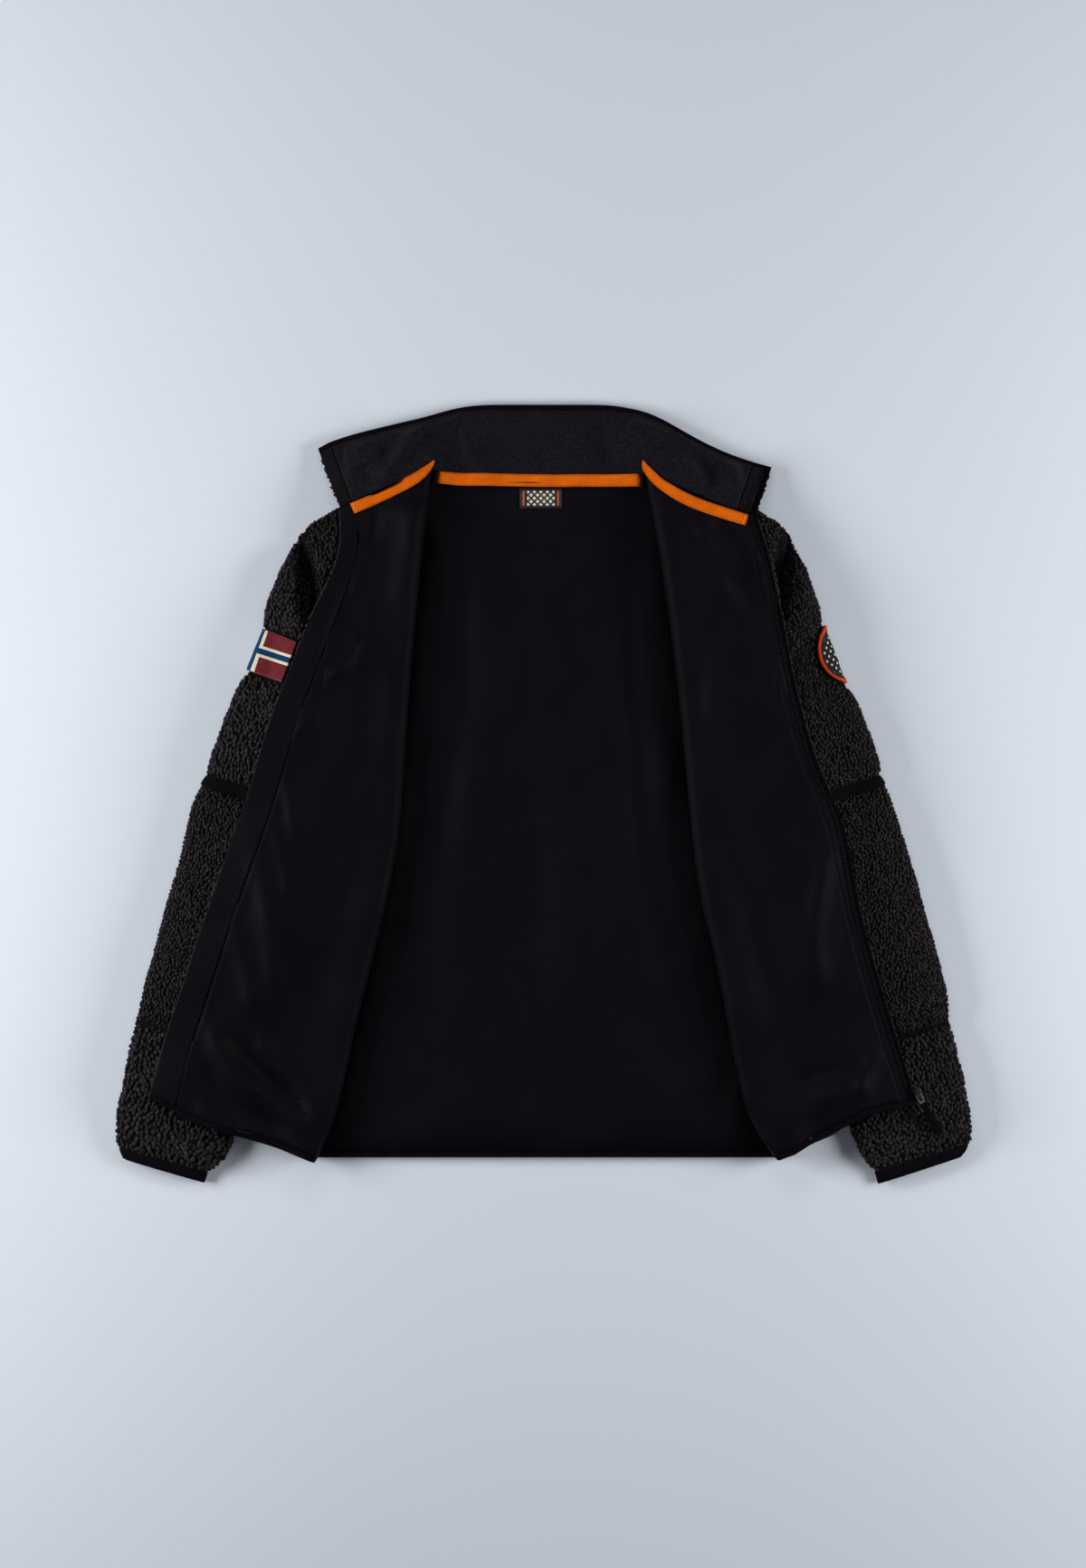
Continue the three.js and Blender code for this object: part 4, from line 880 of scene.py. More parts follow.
class JACKET_OT_sleeves(bpy.types.Operator):
    """Both sleeves, their elbow bands and cuffs"""

    bl_idname = "jacket.sleeves"
    bl_label = "Sleeves"

    def execute(self, context):
        cloth = context.scene.jacket_cloth
        for side, run in SLEEVE_RUN.items():
            run = np.array(run)
            for part in ("upper", "forearm", "lower"):
                node = f"sleeve_{part}_{side}"
                piece = cloth_piece(node, material("Pile ground"), 2, 62)
                points, normals = places(piece), facings(piece)
                sideways = normals - np.outer(normals @ run, run)
                wave = undulation(points[:, 0], points[:, 1], 0.045, 5 if side == "left" else 6)
                depth = cloth.pile_sink + cloth.sleeve_waves * (0.6 + 0.6 * wave)
                depth *= 0.25 + 0.75 * smooth(0.001, 0.006, seam_gap(piece, 0.006, node))
                resting = smooth(-0.3, -0.9, normals[:, 2]) * (points[:, 2] < 0.004)
                points = points - sideways * (depth * (1 - resting))[:, None]
                if part == "upper":
                    points = armhole_hollow(side, node)(points, normals)
                mates = [f"{mate}_{side}" for mate in SEWN_TO[part]]
                move_to(piece, close_seams(points, mates, 1.3 * MM, 0.7 * MM))

            def join(points, _, side=side):
                mates = [f"sleeve_{mate}_{side}" for mate in ("upper", "forearm", "lower")]
                return close_seams(points, mates, 0.7 * MM, 0.5 * MM)

            cloth_piece(f"elbow_band_{side}", material("Fleece band"), 2, 62, shape=join)
            cloth_piece(f"cuff_binding_{side}", material("Flat binding"), 2, 62, shape=join)
        return {"FINISHED"}


# ---- collar and neck ----------------------------------------------------------------------------
def upper_edge(points):
    """The far edge of a fine mesh on the floor plan, as points by x."""
    bins = np.arange(points[:, 0].min(), points[:, 0].max(), 8 * MM)
    which = np.digitize(points[:, 0], bins)
    rows = [(points[which == k, 0].mean(), points[which == k, 1].max()) for k in np.unique(which)]
    return np.array(rows)


def two_toned(piece, finish, line, outer):
    """Gives a strip another finish on one side of a plan line: outer is the side that keeps its own."""
    piece.data.materials.append(material(finish))
    path = smooth_path(np.array(line) * MM, 2 * MM)
    ahead = np.gradient(path, axis=0)
    for polygon in piece.data.polygons:
        apart = np.array(polygon.center[:2]) - path
        k = (apart**2).sum(axis=1).argmin()
        turn = ahead[k, 0] * apart[k, 1] - ahead[k, 1] * apart[k, 0]
        polygon.material_index = int(turn * outer < 0)


COLLAR_LAY = 0.0006  # how far the zip's end lies proud of its solid


class JACKET_OT_collar(bpy.types.Operator):
    """Stand collar with its lining, chin guard, zip tape and binding"""

    bl_idname = "jacket.collar"
    bl_label = "Collar"

    def execute(self, context):
        folds = context.scene.jacket_cloth.fold_share

        def lining(points, _):
            x, y = points[:, 0], points[:, 1]
            lift = 0.006 + 2.1 * ridge_lift(COLLAR_FOLDS, x, y, 1.35) + 0.0009 * undulation(x, y, 0.05, 21)
            far = upper_edge(points)
            edge = np.interp(x, far[:, 0], far[:, 1])
            calm = smooth(0.0, 0.011, edge - y) * (1 - smooth(0.196, 0.206, np.abs(x)))
            points[:, 2] += folds * calm * np.maximum(lift, 0)
            return tuck(points, None)

        def settle(points, _):
            points[:, 2] += COLLAR_LAY
            return points

        def tuck(points, _):
            across = np.abs(points[:, 0])
            near = (1 - smooth(0.1, 0.118, across)) * (1 - smooth(0.333, 0.345, points[:, 1]))
            line = 0.336 - 0.59 * (points[:, 0] - 0.11)
            apart = smooth(0.112, 0.13, points[:, 0]) * (1 - smooth(0.004, 0.018, points[:, 1] - line))
            points[:, 1] -= 0.0045 * near + 0.004 * apart
            return points

        cloth_piece("collar_shell", material("Pile ground"), 2, shape=tuck)
        cloth_piece("collar_lining", material("Microfleece"), 3, shape=lining)
        cloth_piece("chin_guard", material("Guard cloth"), 3, shape=settle)
        tape = cloth_piece("collar_zip_tape", material("Zip cloth"), 3, shape=settle)
        two_toned(tape, "Microfleece", ((228, 342), (217, 310), (207, 280)), 1)
        cloth_piece("collar_binding", material("Flat binding"), 2)
        return {"FINISHED"}


def lay_map(piece, origin, along, scale=1.0):
    """A flat lay map: U runs along a plan direction and V to its left, in metres times scale."""
    along = np.array((*along, 0.0)) / np.hypot(*along)
    left = np.array((-along[1], along[0], 0.0))
    points = places(piece) - np.array((*origin, 0.0))
    set_lay(piece, np.stack([points @ along, points @ left], axis=1) * scale)


def set_lay(piece, pairs):
    layer = piece.data.uv_layers.new(name="Lay")
    corners = np.empty(len(piece.data.loops), int)
    piece.data.loops.foreach_get("vertex_index", corners)
    layer.data.foreach_set("uv", np.ascontiguousarray(pairs[corners]).ravel())


# Each neck tape: its middle line in mm with the half width there.
NECK_TAPES = {
    "neck_tape_right": (
        (-194, 289.5, 5.8), (-172, 299, 5.7), (-150, 309.5, 5.6), (-132, 319, 5.4), (-121, 327, 4.2),
        (-114, 334, 2.2), (-110.5, 339.5, 0.4),
    ),
    "neck_tape_back": (
        (-110.5, 322.2, 5.6), (-98, 321.1, 6.0), (-80, 320.2, 6.2), (-40, 319.9, 6.2), (0, 319.2, 6.2),
        (50, 319.3, 6.2), (90, 318.9, 6.1), (102, 318.5, 5.9),
    ),
    "neck_tape_left": (
        (100.5, 338.5, 0.5), (103, 331.5, 3.2), (110, 322.5, 4.6), (122, 312.5, 5.4), (140, 301.2, 5.8),
        (160, 292.4, 5.8), (182, 285, 5.8), (206, 277.5, 5.6),
    ),
}
TAPE_THICK = 0.9 * MM
TAPE_ROW_IN = 1.2 * MM  # a stitch row to its edge of a neck tape
NARROW_TAPE = 2.4 * MM  # half width below which a neck tape has no rows


def ribbon(node, rows, tree, finish):
    """A closed strip of tape along a middle line, lying on the cloth under it."""
    path = smooth_path(np.array(rows) * MM, 2 * MM)
    ahead = headings(path)
    left = np.stack([-ahead[:, 1], ahead[:, 0]], axis=1)
    shares = (-1, -0.94, -0.5, 0, 0.5, 0.94, 1)
    spots = np.array([path[:, :2] + left * (path[:, 2] * share)[:, None] for share in shares])
    under = np.array([[top_under(tree, *spot)[0] for spot in row] for row in spots])
    level = under.copy()
    for _ in range(2):
        level[:, 1:-1] = np.max([level[:, :-2], level[:, 1:-1], level[:, 2:]], axis=0)
    level[:] = 0.35 * level + 0.65 * level.max(axis=0)
    for _ in range(4):
        level[:, 1:-1] = np.maximum(under[:, 1:-1], (level[:, :-2] + level[:, 1:-1] + level[:, 2:]) / 3)
    drop = np.array((0.55, 0.06, 0, 0, 0, 0.06, 0.55))[:, None] * TAPE_THICK
    count, last = len(path), len(shares) - 1
    tops = np.dstack([spots, (level + 0.25 * MM + TAPE_THICK - drop)[..., None]])
    feet = np.dstack([spots[(0, last), :], (level[(0, last), :] + 0.25 * MM)[..., None]])
    points = np.concatenate([tops.reshape(-1, 3), feet.reshape(-1, 3)])
    base = len(shares) * count
    rings = [
        [row * count + k for row in range(len(shares))] + [base + count + k, base + k] for k in range(count)
    ]
    faces = [
        [near[m], far[m], far[(m + 1) % len(near)], near[(m + 1) % len(near)]]
        for near, far in zip(rings, rings[1:])
        for m in range(len(near))
    ]
    faces += [rings[0], rings[-1][::-1]]
    piece = mesh_piece(node + "_cloth", points.tolist(), faces, material(finish))
    with editing(piece):
        bpy.ops.mesh.normals_make_consistent(inside=False)
    finish_shading(piece)
    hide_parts(node)
    runs = run_along(path[:, :2])
    flat = np.array([[(run, path[k, 2] * share) for k, run in enumerate(runs)] for share in shares])
    flat = flat.reshape(-1, 2)
    ends = flat.reshape(len(shares), count, 2)[(0, last), :].reshape(-1, 2)
    set_lay(piece, np.concatenate([flat, ends]))
    return piece, path


class JACKET_OT_neck(bpy.types.Operator):
    """Orange tape over the neck seam, and the woven label"""

    bl_idname = "jacket.neck"
    bl_label = "Neck tape and label"

    def execute(self, context):
        sewing = context.scene.jacket_sewing
        under = tree_of(*[bpy.data.objects[name] for name in (
            "collar_lining_cloth", "front_lining_left_cloth", "front_lining_right_cloth",
            "back_lining_cloth", "chin_guard_cloth", "collar_zip_tape_cloth", "zip_tape_left_cloth",
            "wind_flap_cloth",
        )])
        stitch = stitch_pattern(sewing.stitch, sewing.thread)
        for node, rows in NECK_TAPES.items():
            piece, path = ribbon(node, rows, under, "Woven tape")
            tree = tree_of(piece)
            placings = []
            for side in (-1, 1):
                row = offset_path(path, -np.maximum(path[:, 2] - TAPE_ROW_IN, 0) * side)
                row = resampled(row[path[:, 2] > NARROW_TAPE, :2], sewing.stitch)
                placings.append(along_surface(row, tree, 0.05 * MM))
            rows = np.concatenate(placings)
            repeat("stitches_" + node, stitch, rows, material("Orange thread"))
            if node != "neck_tape_back":
                blunt = 0 if node == "neck_tape_right" else len(path) - 1
                inner = blunt + (2 if blunt == 0 else -2)
                middle, ahead = path[inner, :2], path[blunt, :2] - path[inner, :2]
                ahead /= np.hypot(*ahead)
                left = np.array((-ahead[1], ahead[0])) * (path[inner, 2] - 0.8 * MM)
                tacks = [
                    resampled(np.array([middle + ahead * k - left, middle + ahead * k + left]), 1.3 * MM)
                    for k in (1.2 * MM, 1.7 * MM)
                ]
                bars = np.concatenate([along_surface(row, tree, 0.15 * MM) for row in tacks])
                repeat("bar_tack_" + node, stitch, bars, material("Bright thread"))
        drop_pattern(stitch)
        label = cloth_piece("neck_label", material("Woven label"), 2)
        low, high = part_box("neck_label")
        lay_map(label, ((low.x + high.x) / 2, (low.y + high.y) / 2), (1, 0), 1 / MM)
        return {"FINISHED"}


# ---- patches ------------------------------------------------------------------------------------
def unroll(piece, run, middle, inward):
    """Distances round a sleeve, from its outer edge inwards over the top, and along it."""
    run = np.array(run)
    out = np.array((-run[1], run[0], 0.0))
    out *= np.sign(out[0] * middle[0])
    points = places(piece)
    edge = (points - middle) @ out
    axis = middle + out * (edge.max() - inward)
    spread = points - axis
    side, up = spread @ out, spread[:, 2]
    angle = np.arctan2(up, side)
    reach = np.hypot(side, up)
    order = np.argsort(angle)
    bins = np.linspace(angle.min(), angle.max(), 60)
    centre = (bins[1:] + bins[:-1]) / 2
    which = np.clip(np.digitize(angle[order], bins) - 1, 0, len(centre) - 1)
    total = np.bincount(which, reach[order], len(centre))
    count = np.bincount(which, minlength=len(centre))
    known = count > 0
    radius = np.interp(centre, centre[known], total[known] / count[known])
    xy = np.stack([radius * np.cos(centre), radius * np.sin(centre)], axis=1)
    arc = run_along(xy)
    zero = arc[np.argmax(xy[:, 0])]
    return np.interp(angle, centre, arc - zero), spread @ run


PATCH_BEND = 0.012  # radius of a sleeve's outer edge under a patch
FLAG_STRETCH = 0.13
FLAG_EDGE = 6.0  # where the sleeve's outline crosses the flag, in its 22 units


class JACKET_OT_patches(bpy.types.Operator):
    """Flag patch on the right sleeve and round badge on the left one"""

    bl_idname = "jacket.patches"
    bl_label = "Patches"

    def execute(self, context):
        flag = cloth_piece("flag_patch", material("Woven flag"), 2)
        points, run = places(flag), np.array(SLEEVE_RUN["right"])
        stretch = ((points - points.mean(axis=0)) @ run * FLAG_STRETCH - 2.2 * MM)[:, None] * run
        move_to(flag, points + stretch + facings(flag) * 0.5 * MM)
        middle = places(flag).mean(axis=0)
        around, along = unroll(flag, SLEEVE_RUN["right"], middle, PATCH_BEND)
        unit = (along.max() - along.min()) / 16
        set_lay(flag, np.stack([FLAG_EDGE + around / unit, (along - along.min()) / unit], axis=1))

        badge = cloth_piece("round_badge", material("Moulded badge"), 2)
        middle = places(badge).mean(axis=0)
        around, along = unroll(badge, SLEEVE_RUN["left"], middle, PATCH_BEND)
        around -= (around.max() + around.min()) / 2
        along -= (along.max() + along.min()) / 2
        around *= (along.max() - along.min()) / (around.max() - around.min())
        reach = np.hypot(around, along) / MM
        points, normals = places(badge), facings(badge)
        raised = 0.7 * smooth(26.6, 27.4, reach)
        move_to(badge, points + normals * (raised * MM)[:, None])
        set_lay(badge, np.stack([-around, along], axis=1) / MM)
        return {"FINISHED"}


# ---- zip ----------------------------------------------------------------------------------------
def tooth_pattern():
    """One moulded zip tooth, with a head, a neck and rounded edges."""
    bpy.ops.object.select_all(action="DESELECT")
    bpy.ops.mesh.primitive_cube_add(size=1)
    tooth = bpy.context.object
    tooth.name = "tooth_pattern"
    bpy.ops.object.mode_set(mode="EDIT")
    bpy.ops.transform.resize(value=(1.2 * MM, 2.6 * MM, 1.0 * MM))
    bpy.ops.mesh.select_all(action="DESELECT")
    bpy.ops.object.mode_set(mode="OBJECT")
    for polygon in tooth.data.polygons:
        polygon.select = polygon.normal.y > 0.9
    bpy.ops.object.mode_set(mode="EDIT")
    bpy.ops.mesh.select_mode(type="FACE")
    bpy.ops.mesh.extrude_region_move(TRANSFORM_OT_translate={"value": (0, 0.9 * MM, 0)})
    bpy.ops.transform.resize(value=(0.55, 1, 0.7))
    bpy.ops.mesh.select_all(action="SELECT")
    bpy.ops.mesh.bevel(offset=0.2 * MM, segments=1)
    bpy.ops.object.mode_set(mode="OBJECT")
    return tooth


def along_surface(path, tree, lift):
    """Placings on a surface: X along the path, Z off the cloth."""
    made = []
    ahead = np.gradient(path, axis=0)
    for (x, y), (dx, dy) in zip(path, ahead):
        z, up = top_under(tree, x, y, None)
        if z is None:
            continue
        forward = Vector((dx, dy, 0))
        forward = (forward - up * forward.dot(up)).normalized()
        across = up.cross(forward)
        spot = Vector((x, y, z)) + up * lift
        made.append([[forward[k], across[k], up[k], spot[k]] for k in range(3)])
    return np.array(made)


class JACKET_OT_zip(bpy.types.Operator):
    """Zip teeth and the finishes of the slider and its pull"""

    bl_idname = "jacket.zip"
    bl_label = "Zip"

    def execute(self, context):
        pitch = context.scene.jacket_sewing.tooth_pitch
        tooth = tooth_pattern()
        metal = material("Zip teeth")
        tape = tree_of(bpy.data.objects["zip_tape_left_cloth"])
        edge = offset_path(smooth_path(ZIP_EDGE, pitch), -TEETH_IN)
        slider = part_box("zip_slider")
        edge = edge[edge[:, 1] > slider[1].y]
        repeat("zip_teeth_front", tooth, along_surface(edge, tape, 0.35 * MM), metal)
        low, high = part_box("collar_zip_tape")
        collar_tape = tree_of(bpy.data.objects["collar_zip_tape_cloth"])
        top = np.array((high.x - 6 * MM, high.y - 3 * MM))
        foot = np.array((low.x + 10 * MM, low.y + 2 * MM))
        count = int(np.linalg.norm(top - foot) / pitch)
        rise = np.linspace(foot, top, count)
        repeat("zip_teeth_collar", tooth, along_surface(rise, collar_tape, 0.5 * MM), metal)
        drop_pattern(tooth)
        finishes = {"zip_slider": "Slider enamel", "pull_ring": "Zip metal", "pull_strap": "Strap rubber"}
        for node, finish in finishes.items():
            solid = frame["nodes"][node]
            solid.data.materials.clear()
            solid.data.materials.append(material(finish))
            finish_shading(solid)
        return {"FINISHED"}


# ---- pile ---------------------------------------------------------------------------------------
def curl_pattern():
    """One fat lump of curled pile, a unit long, arched over with its ends turned down."""
    bpy.ops.object.select_all(action="DESELECT")
    bpy.ops.mesh.primitive_uv_sphere_add(segments=5, ring_count=3, radius=0.56)
    curl = bpy.context.object
    curl.name = "curl_pattern"
    with editing(curl):
        bpy.ops.transform.rotate(value=math.pi / 2, orient_axis="Y", center_override=(0, 0, 0))
        bpy.ops.transform.resize(value=(1, 0.72, 0.7))
    points = places(curl)
    points[:, 2] -= 0.6 * points[:, 0] ** 2
    points[:, 1] += 0.35 * points[:, 0] ** 2
    move_to(curl, points)
    return curl


def scattered(piece, spacing, seed):
    """Evenly spread points on a mesh with their facings, no two closer than spacing."""
    mesh = piece.data
    mesh.calc_loop_triangles()
    points = places(piece)
    corners = np.empty(len(mesh.loop_triangles) * 3, int)
    mesh.loop_triangles.foreach_get("vertices", corners)
    corners = corners.reshape(-1, 3)
    a, b, c = (points[corners[:, k]] for k in range(3))
    cross = np.cross(b - a, c - a)
    area = np.linalg.norm(cross, axis=1) / 2
    draw = np.random.default_rng(seed)
    count = int(area.sum() / spacing**2 * 4)
    pick = draw.choice(len(area), count, p=area / area.sum())
    u, v = draw.random(count), draw.random(count)
    over = u + v > 1
    u[over], v[over] = 1 - u[over], 1 - v[over]
    spots = a[pick] + (b - a)[pick] * u[:, None] + (c - a)[pick] * v[:, None]
    faces = cross[pick] / (2 * area[pick])[:, None]
    cells, kept = {}, []
    for index, (i, j, k) in enumerate(np.floor(spots / spacing).astype(int).tolist()):
        near = (
            other
            for di in (-1, 0, 1)
            for dj in (-1, 0, 1)
            for dk in (-1, 0, 1)
            for other in cells.get((i + di, j + dj, k + dk), ())
        )
        spot = spots[index]
        if all(((spot - spots[other]) ** 2).sum() > spacing**2 for other in near):
            cells.setdefault((i, j, k), []).append(index)
            kept.append(index)
    return spots[kept], faces[kept], draw


def open_to_view(spot, facing, tree, clear):
    """True where nothing lies over a place and it doesn't rest on the floor."""
    if spot[2] < 3.5 * MM and facing[2] < -0.35:
        return False
    for ahead in (Vector(facing), Vector((0, 0, 1)))[: 2 if facing[2] > 0.1 else 1]:
        side = ahead.orthogonal().normalized()
        other = ahead.cross(side)
        leans = (Vector((0, 0, 0)), side, -side, other, -other)
        starts = [Vector(spot) + Vector(facing) * 0.3 * MM + lean * 1.2 * MM for lean in leans]
        tries = [(start, (ahead + lean * 0.2).normalized()) for start, lean in zip(starts, leans)]
        if all(tree.ray_cast(start, way, clear)[0] is None for start, way in tries):
            return True
    return False


# For each pile piece: the length of a lump, the least distance to the next, and the room it needs above.
PILE_ON = {
    "sleeve_upper_right": (6.2, 3.3, 25),
    "sleeve_upper_left": (4.9, 2.9, 25),
    "sleeve_forearm_right": (4.8, 2.8, 25),
    "sleeve_forearm_left": (4.7, 2.8, 25),
    "sleeve_lower_right": (6.8, 3.6, 25),
    "sleeve_lower_left": (6.0, 3.3, 25),
    "front_shell_right": (5.2, 2.8, 70),
    "front_shell_left": (5.0, 2.7, 70),
    "collar_shell": (5.0, 3.1, 40),
    "back_shell": (5.0, 3.1, 60),
}
BARE_SEAM = 1.4 * MM
BARE_PATCH = 3.4 * MM


def meets(node, name):
    """True for the two pile pieces at an armhole, where the pile runs up to the seam."""
    pair = sorted((node.split("_")[0], name.split("_")[0]))
    both = node + name
    return pair[1] == "sleeve" and pair[0] in ("front", "back") and "_shell" in both and "upper" in both


class JACKET_OT_pile(bpy.types.Operator):
    """Lumps of curled pile on every pile surface that can be seen"""

    bl_idname = "jacket.pile"
    bl_label = "Pile"

    def execute(self, context):
        pile = context.scene.jacket_pile
        curl = curl_pattern()
        cloths = [item for item in bpy.data.objects if item.name.endswith("_cloth")]
        patches = tree_of(bpy.data.objects["flag_patch_cloth"], bpy.data.objects["round_badge_cloth"])
        for index, (node, (length, spacing, room)) in enumerate(PILE_ON.items()):
            own = bpy.data.objects[node + "_cloth"]
            others = tree_of(*[cloth for cloth in cloths if cloth != own])
            beside = tree_of(*[cloth for cloth in cloths if cloth != own and not meets(node, cloth.name)])
            run = SLEEVE_RUN.get(node.rsplit("_", 1)[-1], Vector((1, 0, 0)))
            seed = pile.seed + index
            spots, faces, draw = scattered(own, spacing * MM * pile.spacing, seed)
            drift = undulation(spots[:, 0], spots[:, 1], 0.05, seed + 40)
            placings, shades = [], []
            for spot, facing, bend in zip(spots, faces, drift):
                if not open_to_view(spot, facing, others, room * MM):
                    continue
                up = Vector(facing)
                _, _, _, gap = beside.find_nearest(Vector(spot), 5 * MM)
                if gap is not None and gap < BARE_SEAM or patches.find_nearest(Vector(spot), BARE_PATCH)[0]:
                    continue
                small = 1 if gap is None else 0.62 + 0.38 * float(smooth(BARE_SEAM, 0.005, gap))
                forward = run - up * run.dot(up)
                if forward.length < 0.1:
                    forward = up.orthogonal()
                turn = Matrix.Rotation(0.8 * bend + draw.normal(0, 0.5), 3, up)
                forward = (turn @ forward).normalized()
                across = up.cross(forward) * (1 if draw.random() < 0.5 else -1)
                grow = length * MM * pile.length * small * draw.uniform(0.72, 1.2)
                wide = length * MM * pile.length * small * draw.uniform(0.82, 1.1)
                place = Vector(spot) + up * draw.uniform(-0.1, 0.6) * MM * small
                placings.append(
                    [[forward[k] * grow, across[k] * wide, up[k] * wide, place[k]] for k in range(3)]
                )
                # Each lump's own random tone; repeat adds painted crevice shade towards its foot.
                shades.append(0.3 + 1.1 * draw.beta(1.1, 1.9))
            if placings:
                repeat(
                    "curls_" + node, curl, np.array(placings), material("Pile curls"),
                    shades=np.array(shades),
                )
        drop_pattern(curl)
        return {"FINISHED"}


# ---- sewing -------------------------------------------------------------------------------------
def stitch_pattern(length, thick):
    """One stitch: a thread that dips into the cloth at both ends."""
    bpy.ops.object.select_all(action="DESELECT")
    bpy.ops.mesh.primitive_cylinder_add(
        vertices=5, radius=thick / 2, depth=length * 0.3, end_fill_type="NGON"
    )
    stitch = bpy.context.object
    stitch.name = "stitch_pattern"
    bpy.ops.object.mode_set(mode="EDIT")
    bpy.ops.mesh.select_all(action="SELECT")
    bpy.ops.transform.rotate(value=math.pi / 2, orient_axis="Y", center_override=(0, 0, 0))
    for way in (1, -1):
        bpy.ops.mesh.select_all(action="DESELECT")
        bpy.ops.object.mode_set(mode="OBJECT")
        for polygon in stitch.data.polygons:
            polygon.select = polygon.normal.x * way > 0.9
        bpy.ops.object.mode_set(mode="EDIT")
        bpy.ops.mesh.select_mode(type="FACE")
        bpy.ops.mesh.extrude_region_move(
            TRANSFORM_OT_translate={"value": (way * length * 0.2, 0, -thick * 0.8)}
        )
        bpy.ops.transform.resize(value=(1, 0.6, 0.6))
    bpy.ops.object.mode_set(mode="OBJECT")
    return stitch


def side_lines(piece, run, step=6 * MM):
    """The two long edges of a strip that runs along a plan direction, as plan points."""
    run = np.array(run[:2]) / np.hypot(*run[:2])
    left = np.array((-run[1], run[0]))
    points = places(piece)[:, :2]
    along, across = points @ run, points @ left
    bins = np.arange(along.min(), along.max() + step, step)
    which = np.digitize(along, bins) - 1
    rows = [(k, across[which == k]) for k in range(len(bins)) if np.count_nonzero(which == k) > 3]
    spots = np.array([bins[k] + step / 2 for k, _ in rows])
    lines = []
    for pick in (np.min, np.max):
        edge = np.array([pick(found) for _, found in rows])
        edge[1:-1] = (edge[:-2] + edge[1:-1] + edge[2:]) / 3
        lines.append(spots[:, None] * run + edge[:, None] * left)
    return lines


def between(lines, share, trim=1):
    """A line at a share of the way from a strip's one edge to its other."""
    low, high = lines
    return (low + (high - low) * share)[trim : len(low) - trim]


HEM_ROWS = (6.5, 1.6)  # how far the stitch rows lie in from the hem's edge, in mm
FLAG_STITCH = 2.4 * MM


class JACKET_OT_sewing(bpy.types.Operator):
    """Rows of stitches on the flap, hems, zip tapes, collar and patches"""

    bl_idname = "jacket.sewing"
    bl_label = "Sewing"

    def execute(self, context):
        sewing = context.scene.jacket_sewing
        stitch = stitch_pattern(sewing.stitch, sewing.thread)

        def sew(node, rows, finish="Black thread", step=sewing.stitch, beside=()):
            tree = tree_of(*[bpy.data.objects[name + "_cloth"] for name in (node, *beside)])
            placings = [along_surface(resampled(row, step), tree, 0.08 * MM) for row in rows]
            repeat("stitches_" + node, stitch, np.concatenate(placings), material(finish))

        def strip(node, run, shares, trim=1):
            lines = side_lines(bpy.data.objects[node + "_cloth"], run)
            return [between(lines, share, trim) for share in shares]

        sew("wind_flap", strip("wind_flap", (-0.27, -0.96), (0.06, 0.3, 0.5, 0.74), 2))
        sew("zip_tape_left", strip("zip_tape_left", (0.27, -0.96), (0.12,), 2))
        sew("collar_binding", strip("collar_binding", (1, 0), (0.3,), 3))
        sew("hem_binding_back", strip("hem_binding_back", (1, 0), (0.85,), 4))
        for side, sign in (("left", 1), ("right", -1)):
            lines = np.array(HEM_LINE[side]) * MM
            row = smooth_path(np.array([lines[0], lines.mean(axis=0), lines[1]]), 4 * MM)
            across, shift = np.array(HEM_SWAY[side]).T * MM
            row[:, 1] += np.interp(row[:, 0], across, shift)
            inward = np.array((-0.36 * sign, 0.93))
            rows = [(row + inward * rise * MM)[3:-5] for rise in HEM_ROWS]
            sew("hem_binding_" + side, rows, beside=("front_lining_" + side,))
            sew("cuff_binding_" + side, strip("cuff_binding_" + side, (0.95, 0.31 * sign), (0.85,)))
        sew("chin_guard", strip("chin_guard", (0.35, -0.94), (0.86,)))
        edges = strip("flag_patch", (0.95, -0.31), (0.02, 0.98))
        sew("flag_patch", edges, "Burgundy thread", FLAG_STITCH)
        drop_pattern(stitch)
        return {"FINISHED"}


class JACKET_OT_cuts(bpy.types.Operator):
    """Takes no step: it leaves every cloth piece as it is."""

    bl_idname = "jacket.cuts"
    bl_label = "Cloth cuts"

    def execute(self, context):
        return {"FINISHED"}


# ---- stage --------------------------------------------------------------------------------------
def area_light(name, place, target, size, power):
    lamp = bpy.data.lights.new(name, "AREA")
    lamp.shape = "RECTANGLE"
    lamp.size, lamp.size_y = size
    lamp.energy = power
    made = bpy.data.objects.new(name, lamp)
    bpy.context.scene.collection.objects.link(made)
    made.location = place
    made.rotation_euler = (Vector(target) - Vector(place)).to_track_quat("-Z", "Y").to_euler()
    return made


VIEW_MIDDLE = (-0.0008, 0.0105)  # the floor point under the camera


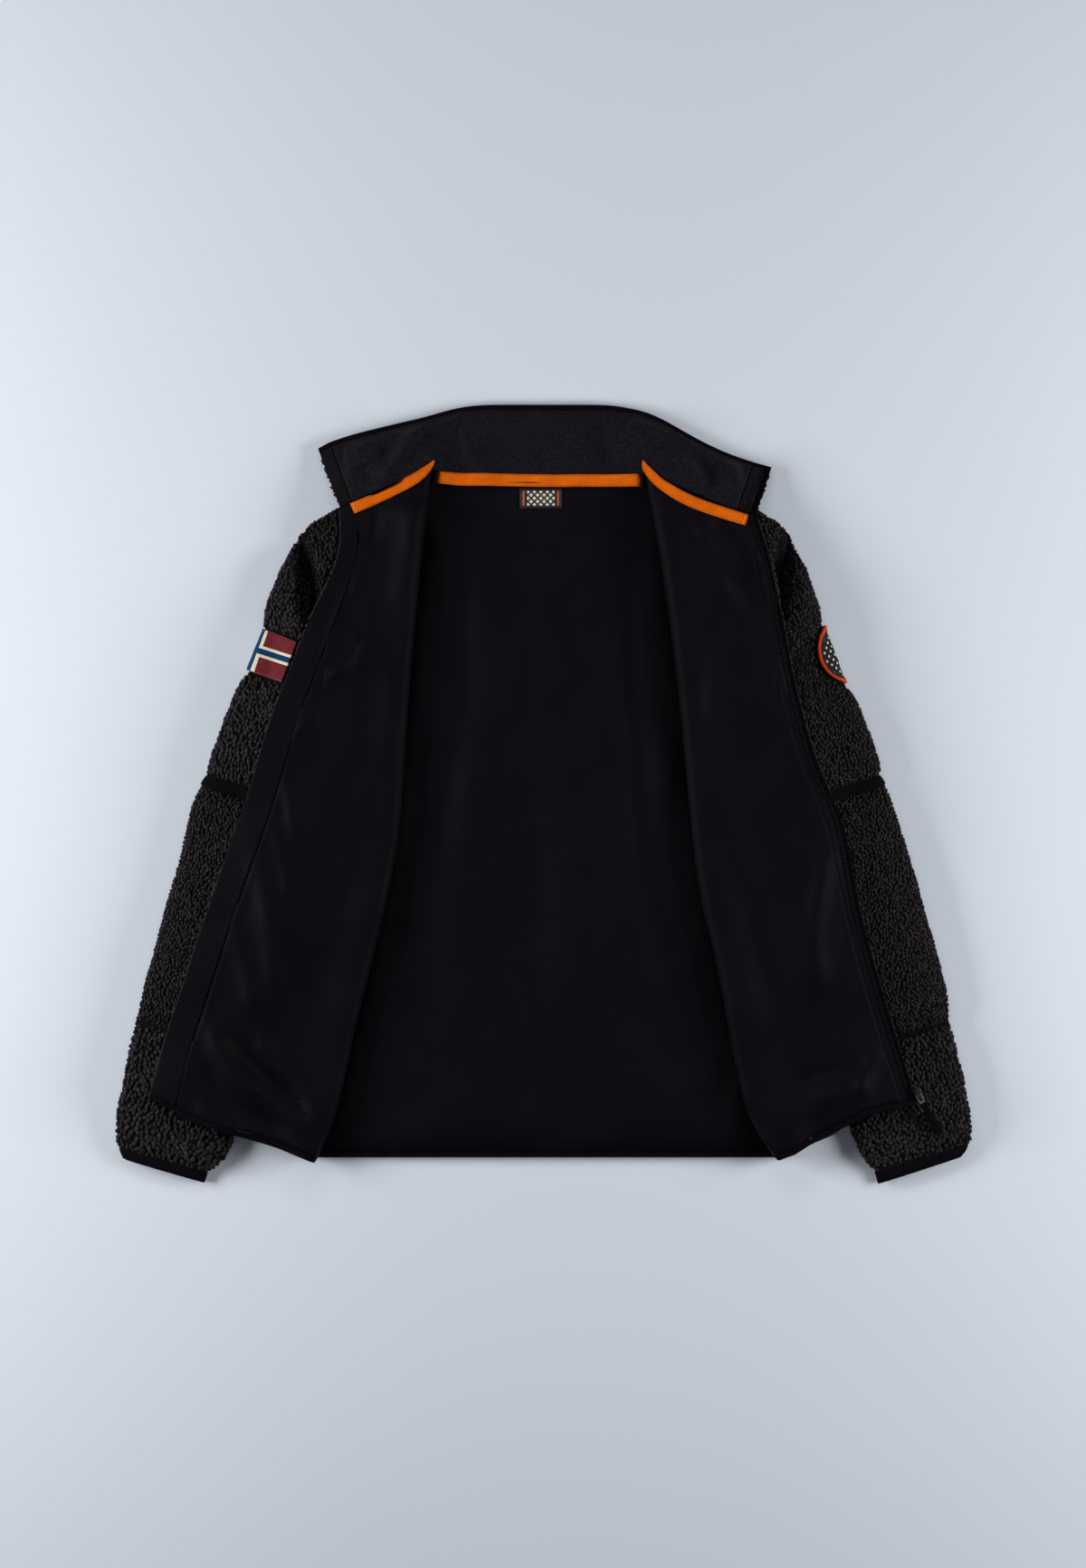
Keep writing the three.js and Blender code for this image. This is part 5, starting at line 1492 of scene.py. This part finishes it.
class JACKET_OT_stage(bpy.types.Operator):
    """Camera straight above, pale floor and soft light from both sides, the collar and above"""

    bl_idname = "jacket.stage"
    bl_label = "Stage"

    def execute(self, context):
        stage = context.scene.jacket_stage
        camera = bpy.data.cameras.new("Overhead")
        camera.lens = stage.lens
        camera.sensor_width = 36
        camera.clip_end = 50
        holder = bpy.data.objects.new("Overhead", camera)
        context.scene.collection.objects.link(holder)
        holder.location = (*VIEW_MIDDLE, stage.tall * stage.lens / camera.sensor_width + 0.015)
        context.scene.camera = holder

        bpy.ops.object.select_all(action="DESELECT")
        bpy.ops.mesh.primitive_plane_add(size=14, location=(0, 0, 0))
        floor = bpy.context.object
        floor.name = "floor"
        floor.data.transform(Matrix.Translation((0, 0, -0.3 * MM)))
        floor.data.materials.append(material("Pale floor"))

        area_light("Left", (-1.9, 0.05, 0.85), (-0.7, -0.05, 0), (1.2, 0.7), stage.key)
        area_light("Right", (1.9, -0.05, 0.9), (0.75, -0.05, 0), (1.2, 0.8), stage.key * 0.82)
        area_light("Back", (-0.4, 2.3, 2.0), (0, 0, 0), (1.8, 0.8), stage.back)
        area_light("Top", (0, -0.5, 3.4), (0, -0.3, 0), (2.6, 2.6), stage.top)
        world = bpy.data.worlds.new("Studio")
        world.use_nodes = True
        world.node_tree.nodes["Background"].inputs[0].default_value = (0.9, 0.95, 1.0, 1)
        world.node_tree.nodes["Background"].inputs[1].default_value = stage.fill
        context.scene.world = world
        context.scene.view_settings.view_transform = "Standard"
        return {"FINISHED"}


class JACKET_PT_panel(bpy.types.Panel):
    """Lists the jacket's settings and its pieces"""

    bl_idname = "JACKET_PT_panel"
    bl_label = "Jacket"
    bl_space_type = "VIEW_3D"
    bl_region_type = "UI"
    bl_category = "Jacket"

    def draw(self, context):
        layout = self.layout
        for name, group in SETTINGS.items():
            box = layout.box()
            for key in group.__annotations__:
                box.prop(getattr(context.scene, name), key)
        for operator in OPERATORS:
            layout.operator(operator.bl_idname)


SETTINGS = {
    "jacket_cloth": JacketCloth,
    "jacket_pile": JacketPile,
    "jacket_sewing": JacketSewing,
    "jacket_stage": JacketStage,
}
OPERATORS = (
    JACKET_OT_stage,
    JACKET_OT_back,
    JACKET_OT_fronts,
    JACKET_OT_sleeves,
    JACKET_OT_collar,
    JACKET_OT_neck,
    JACKET_OT_patches,
    JACKET_OT_zip,
    JACKET_OT_sewing,
    JACKET_OT_pile,
    JACKET_OT_cuts,
)


def register():
    for cls in (*SETTINGS.values(), *OPERATORS, JACKET_PT_panel):
        bpy.utils.register_class(cls)
    for name, group in SETTINGS.items():
        setattr(bpy.types.Scene, name, bpy.props.PointerProperty(type=group))


def unregister():
    for name in SETTINGS:
        delattr(bpy.types.Scene, name)
    for cls in reversed((*SETTINGS.values(), *OPERATORS, JACKET_PT_panel)):
        bpy.utils.unregister_class(cls)


def main():
    register()
    bpy.ops.jacket.stage()
    bpy.ops.jacket.back()
    bpy.ops.jacket.fronts()
    bpy.ops.jacket.sleeves()
    bpy.ops.jacket.collar()
    bpy.ops.jacket.neck()
    bpy.ops.jacket.patches()
    bpy.ops.jacket.zip()
    bpy.ops.jacket.sewing()
    bpy.ops.jacket.pile()
    bpy.ops.jacket.cuts()


if __name__ == "__main__":
    main()
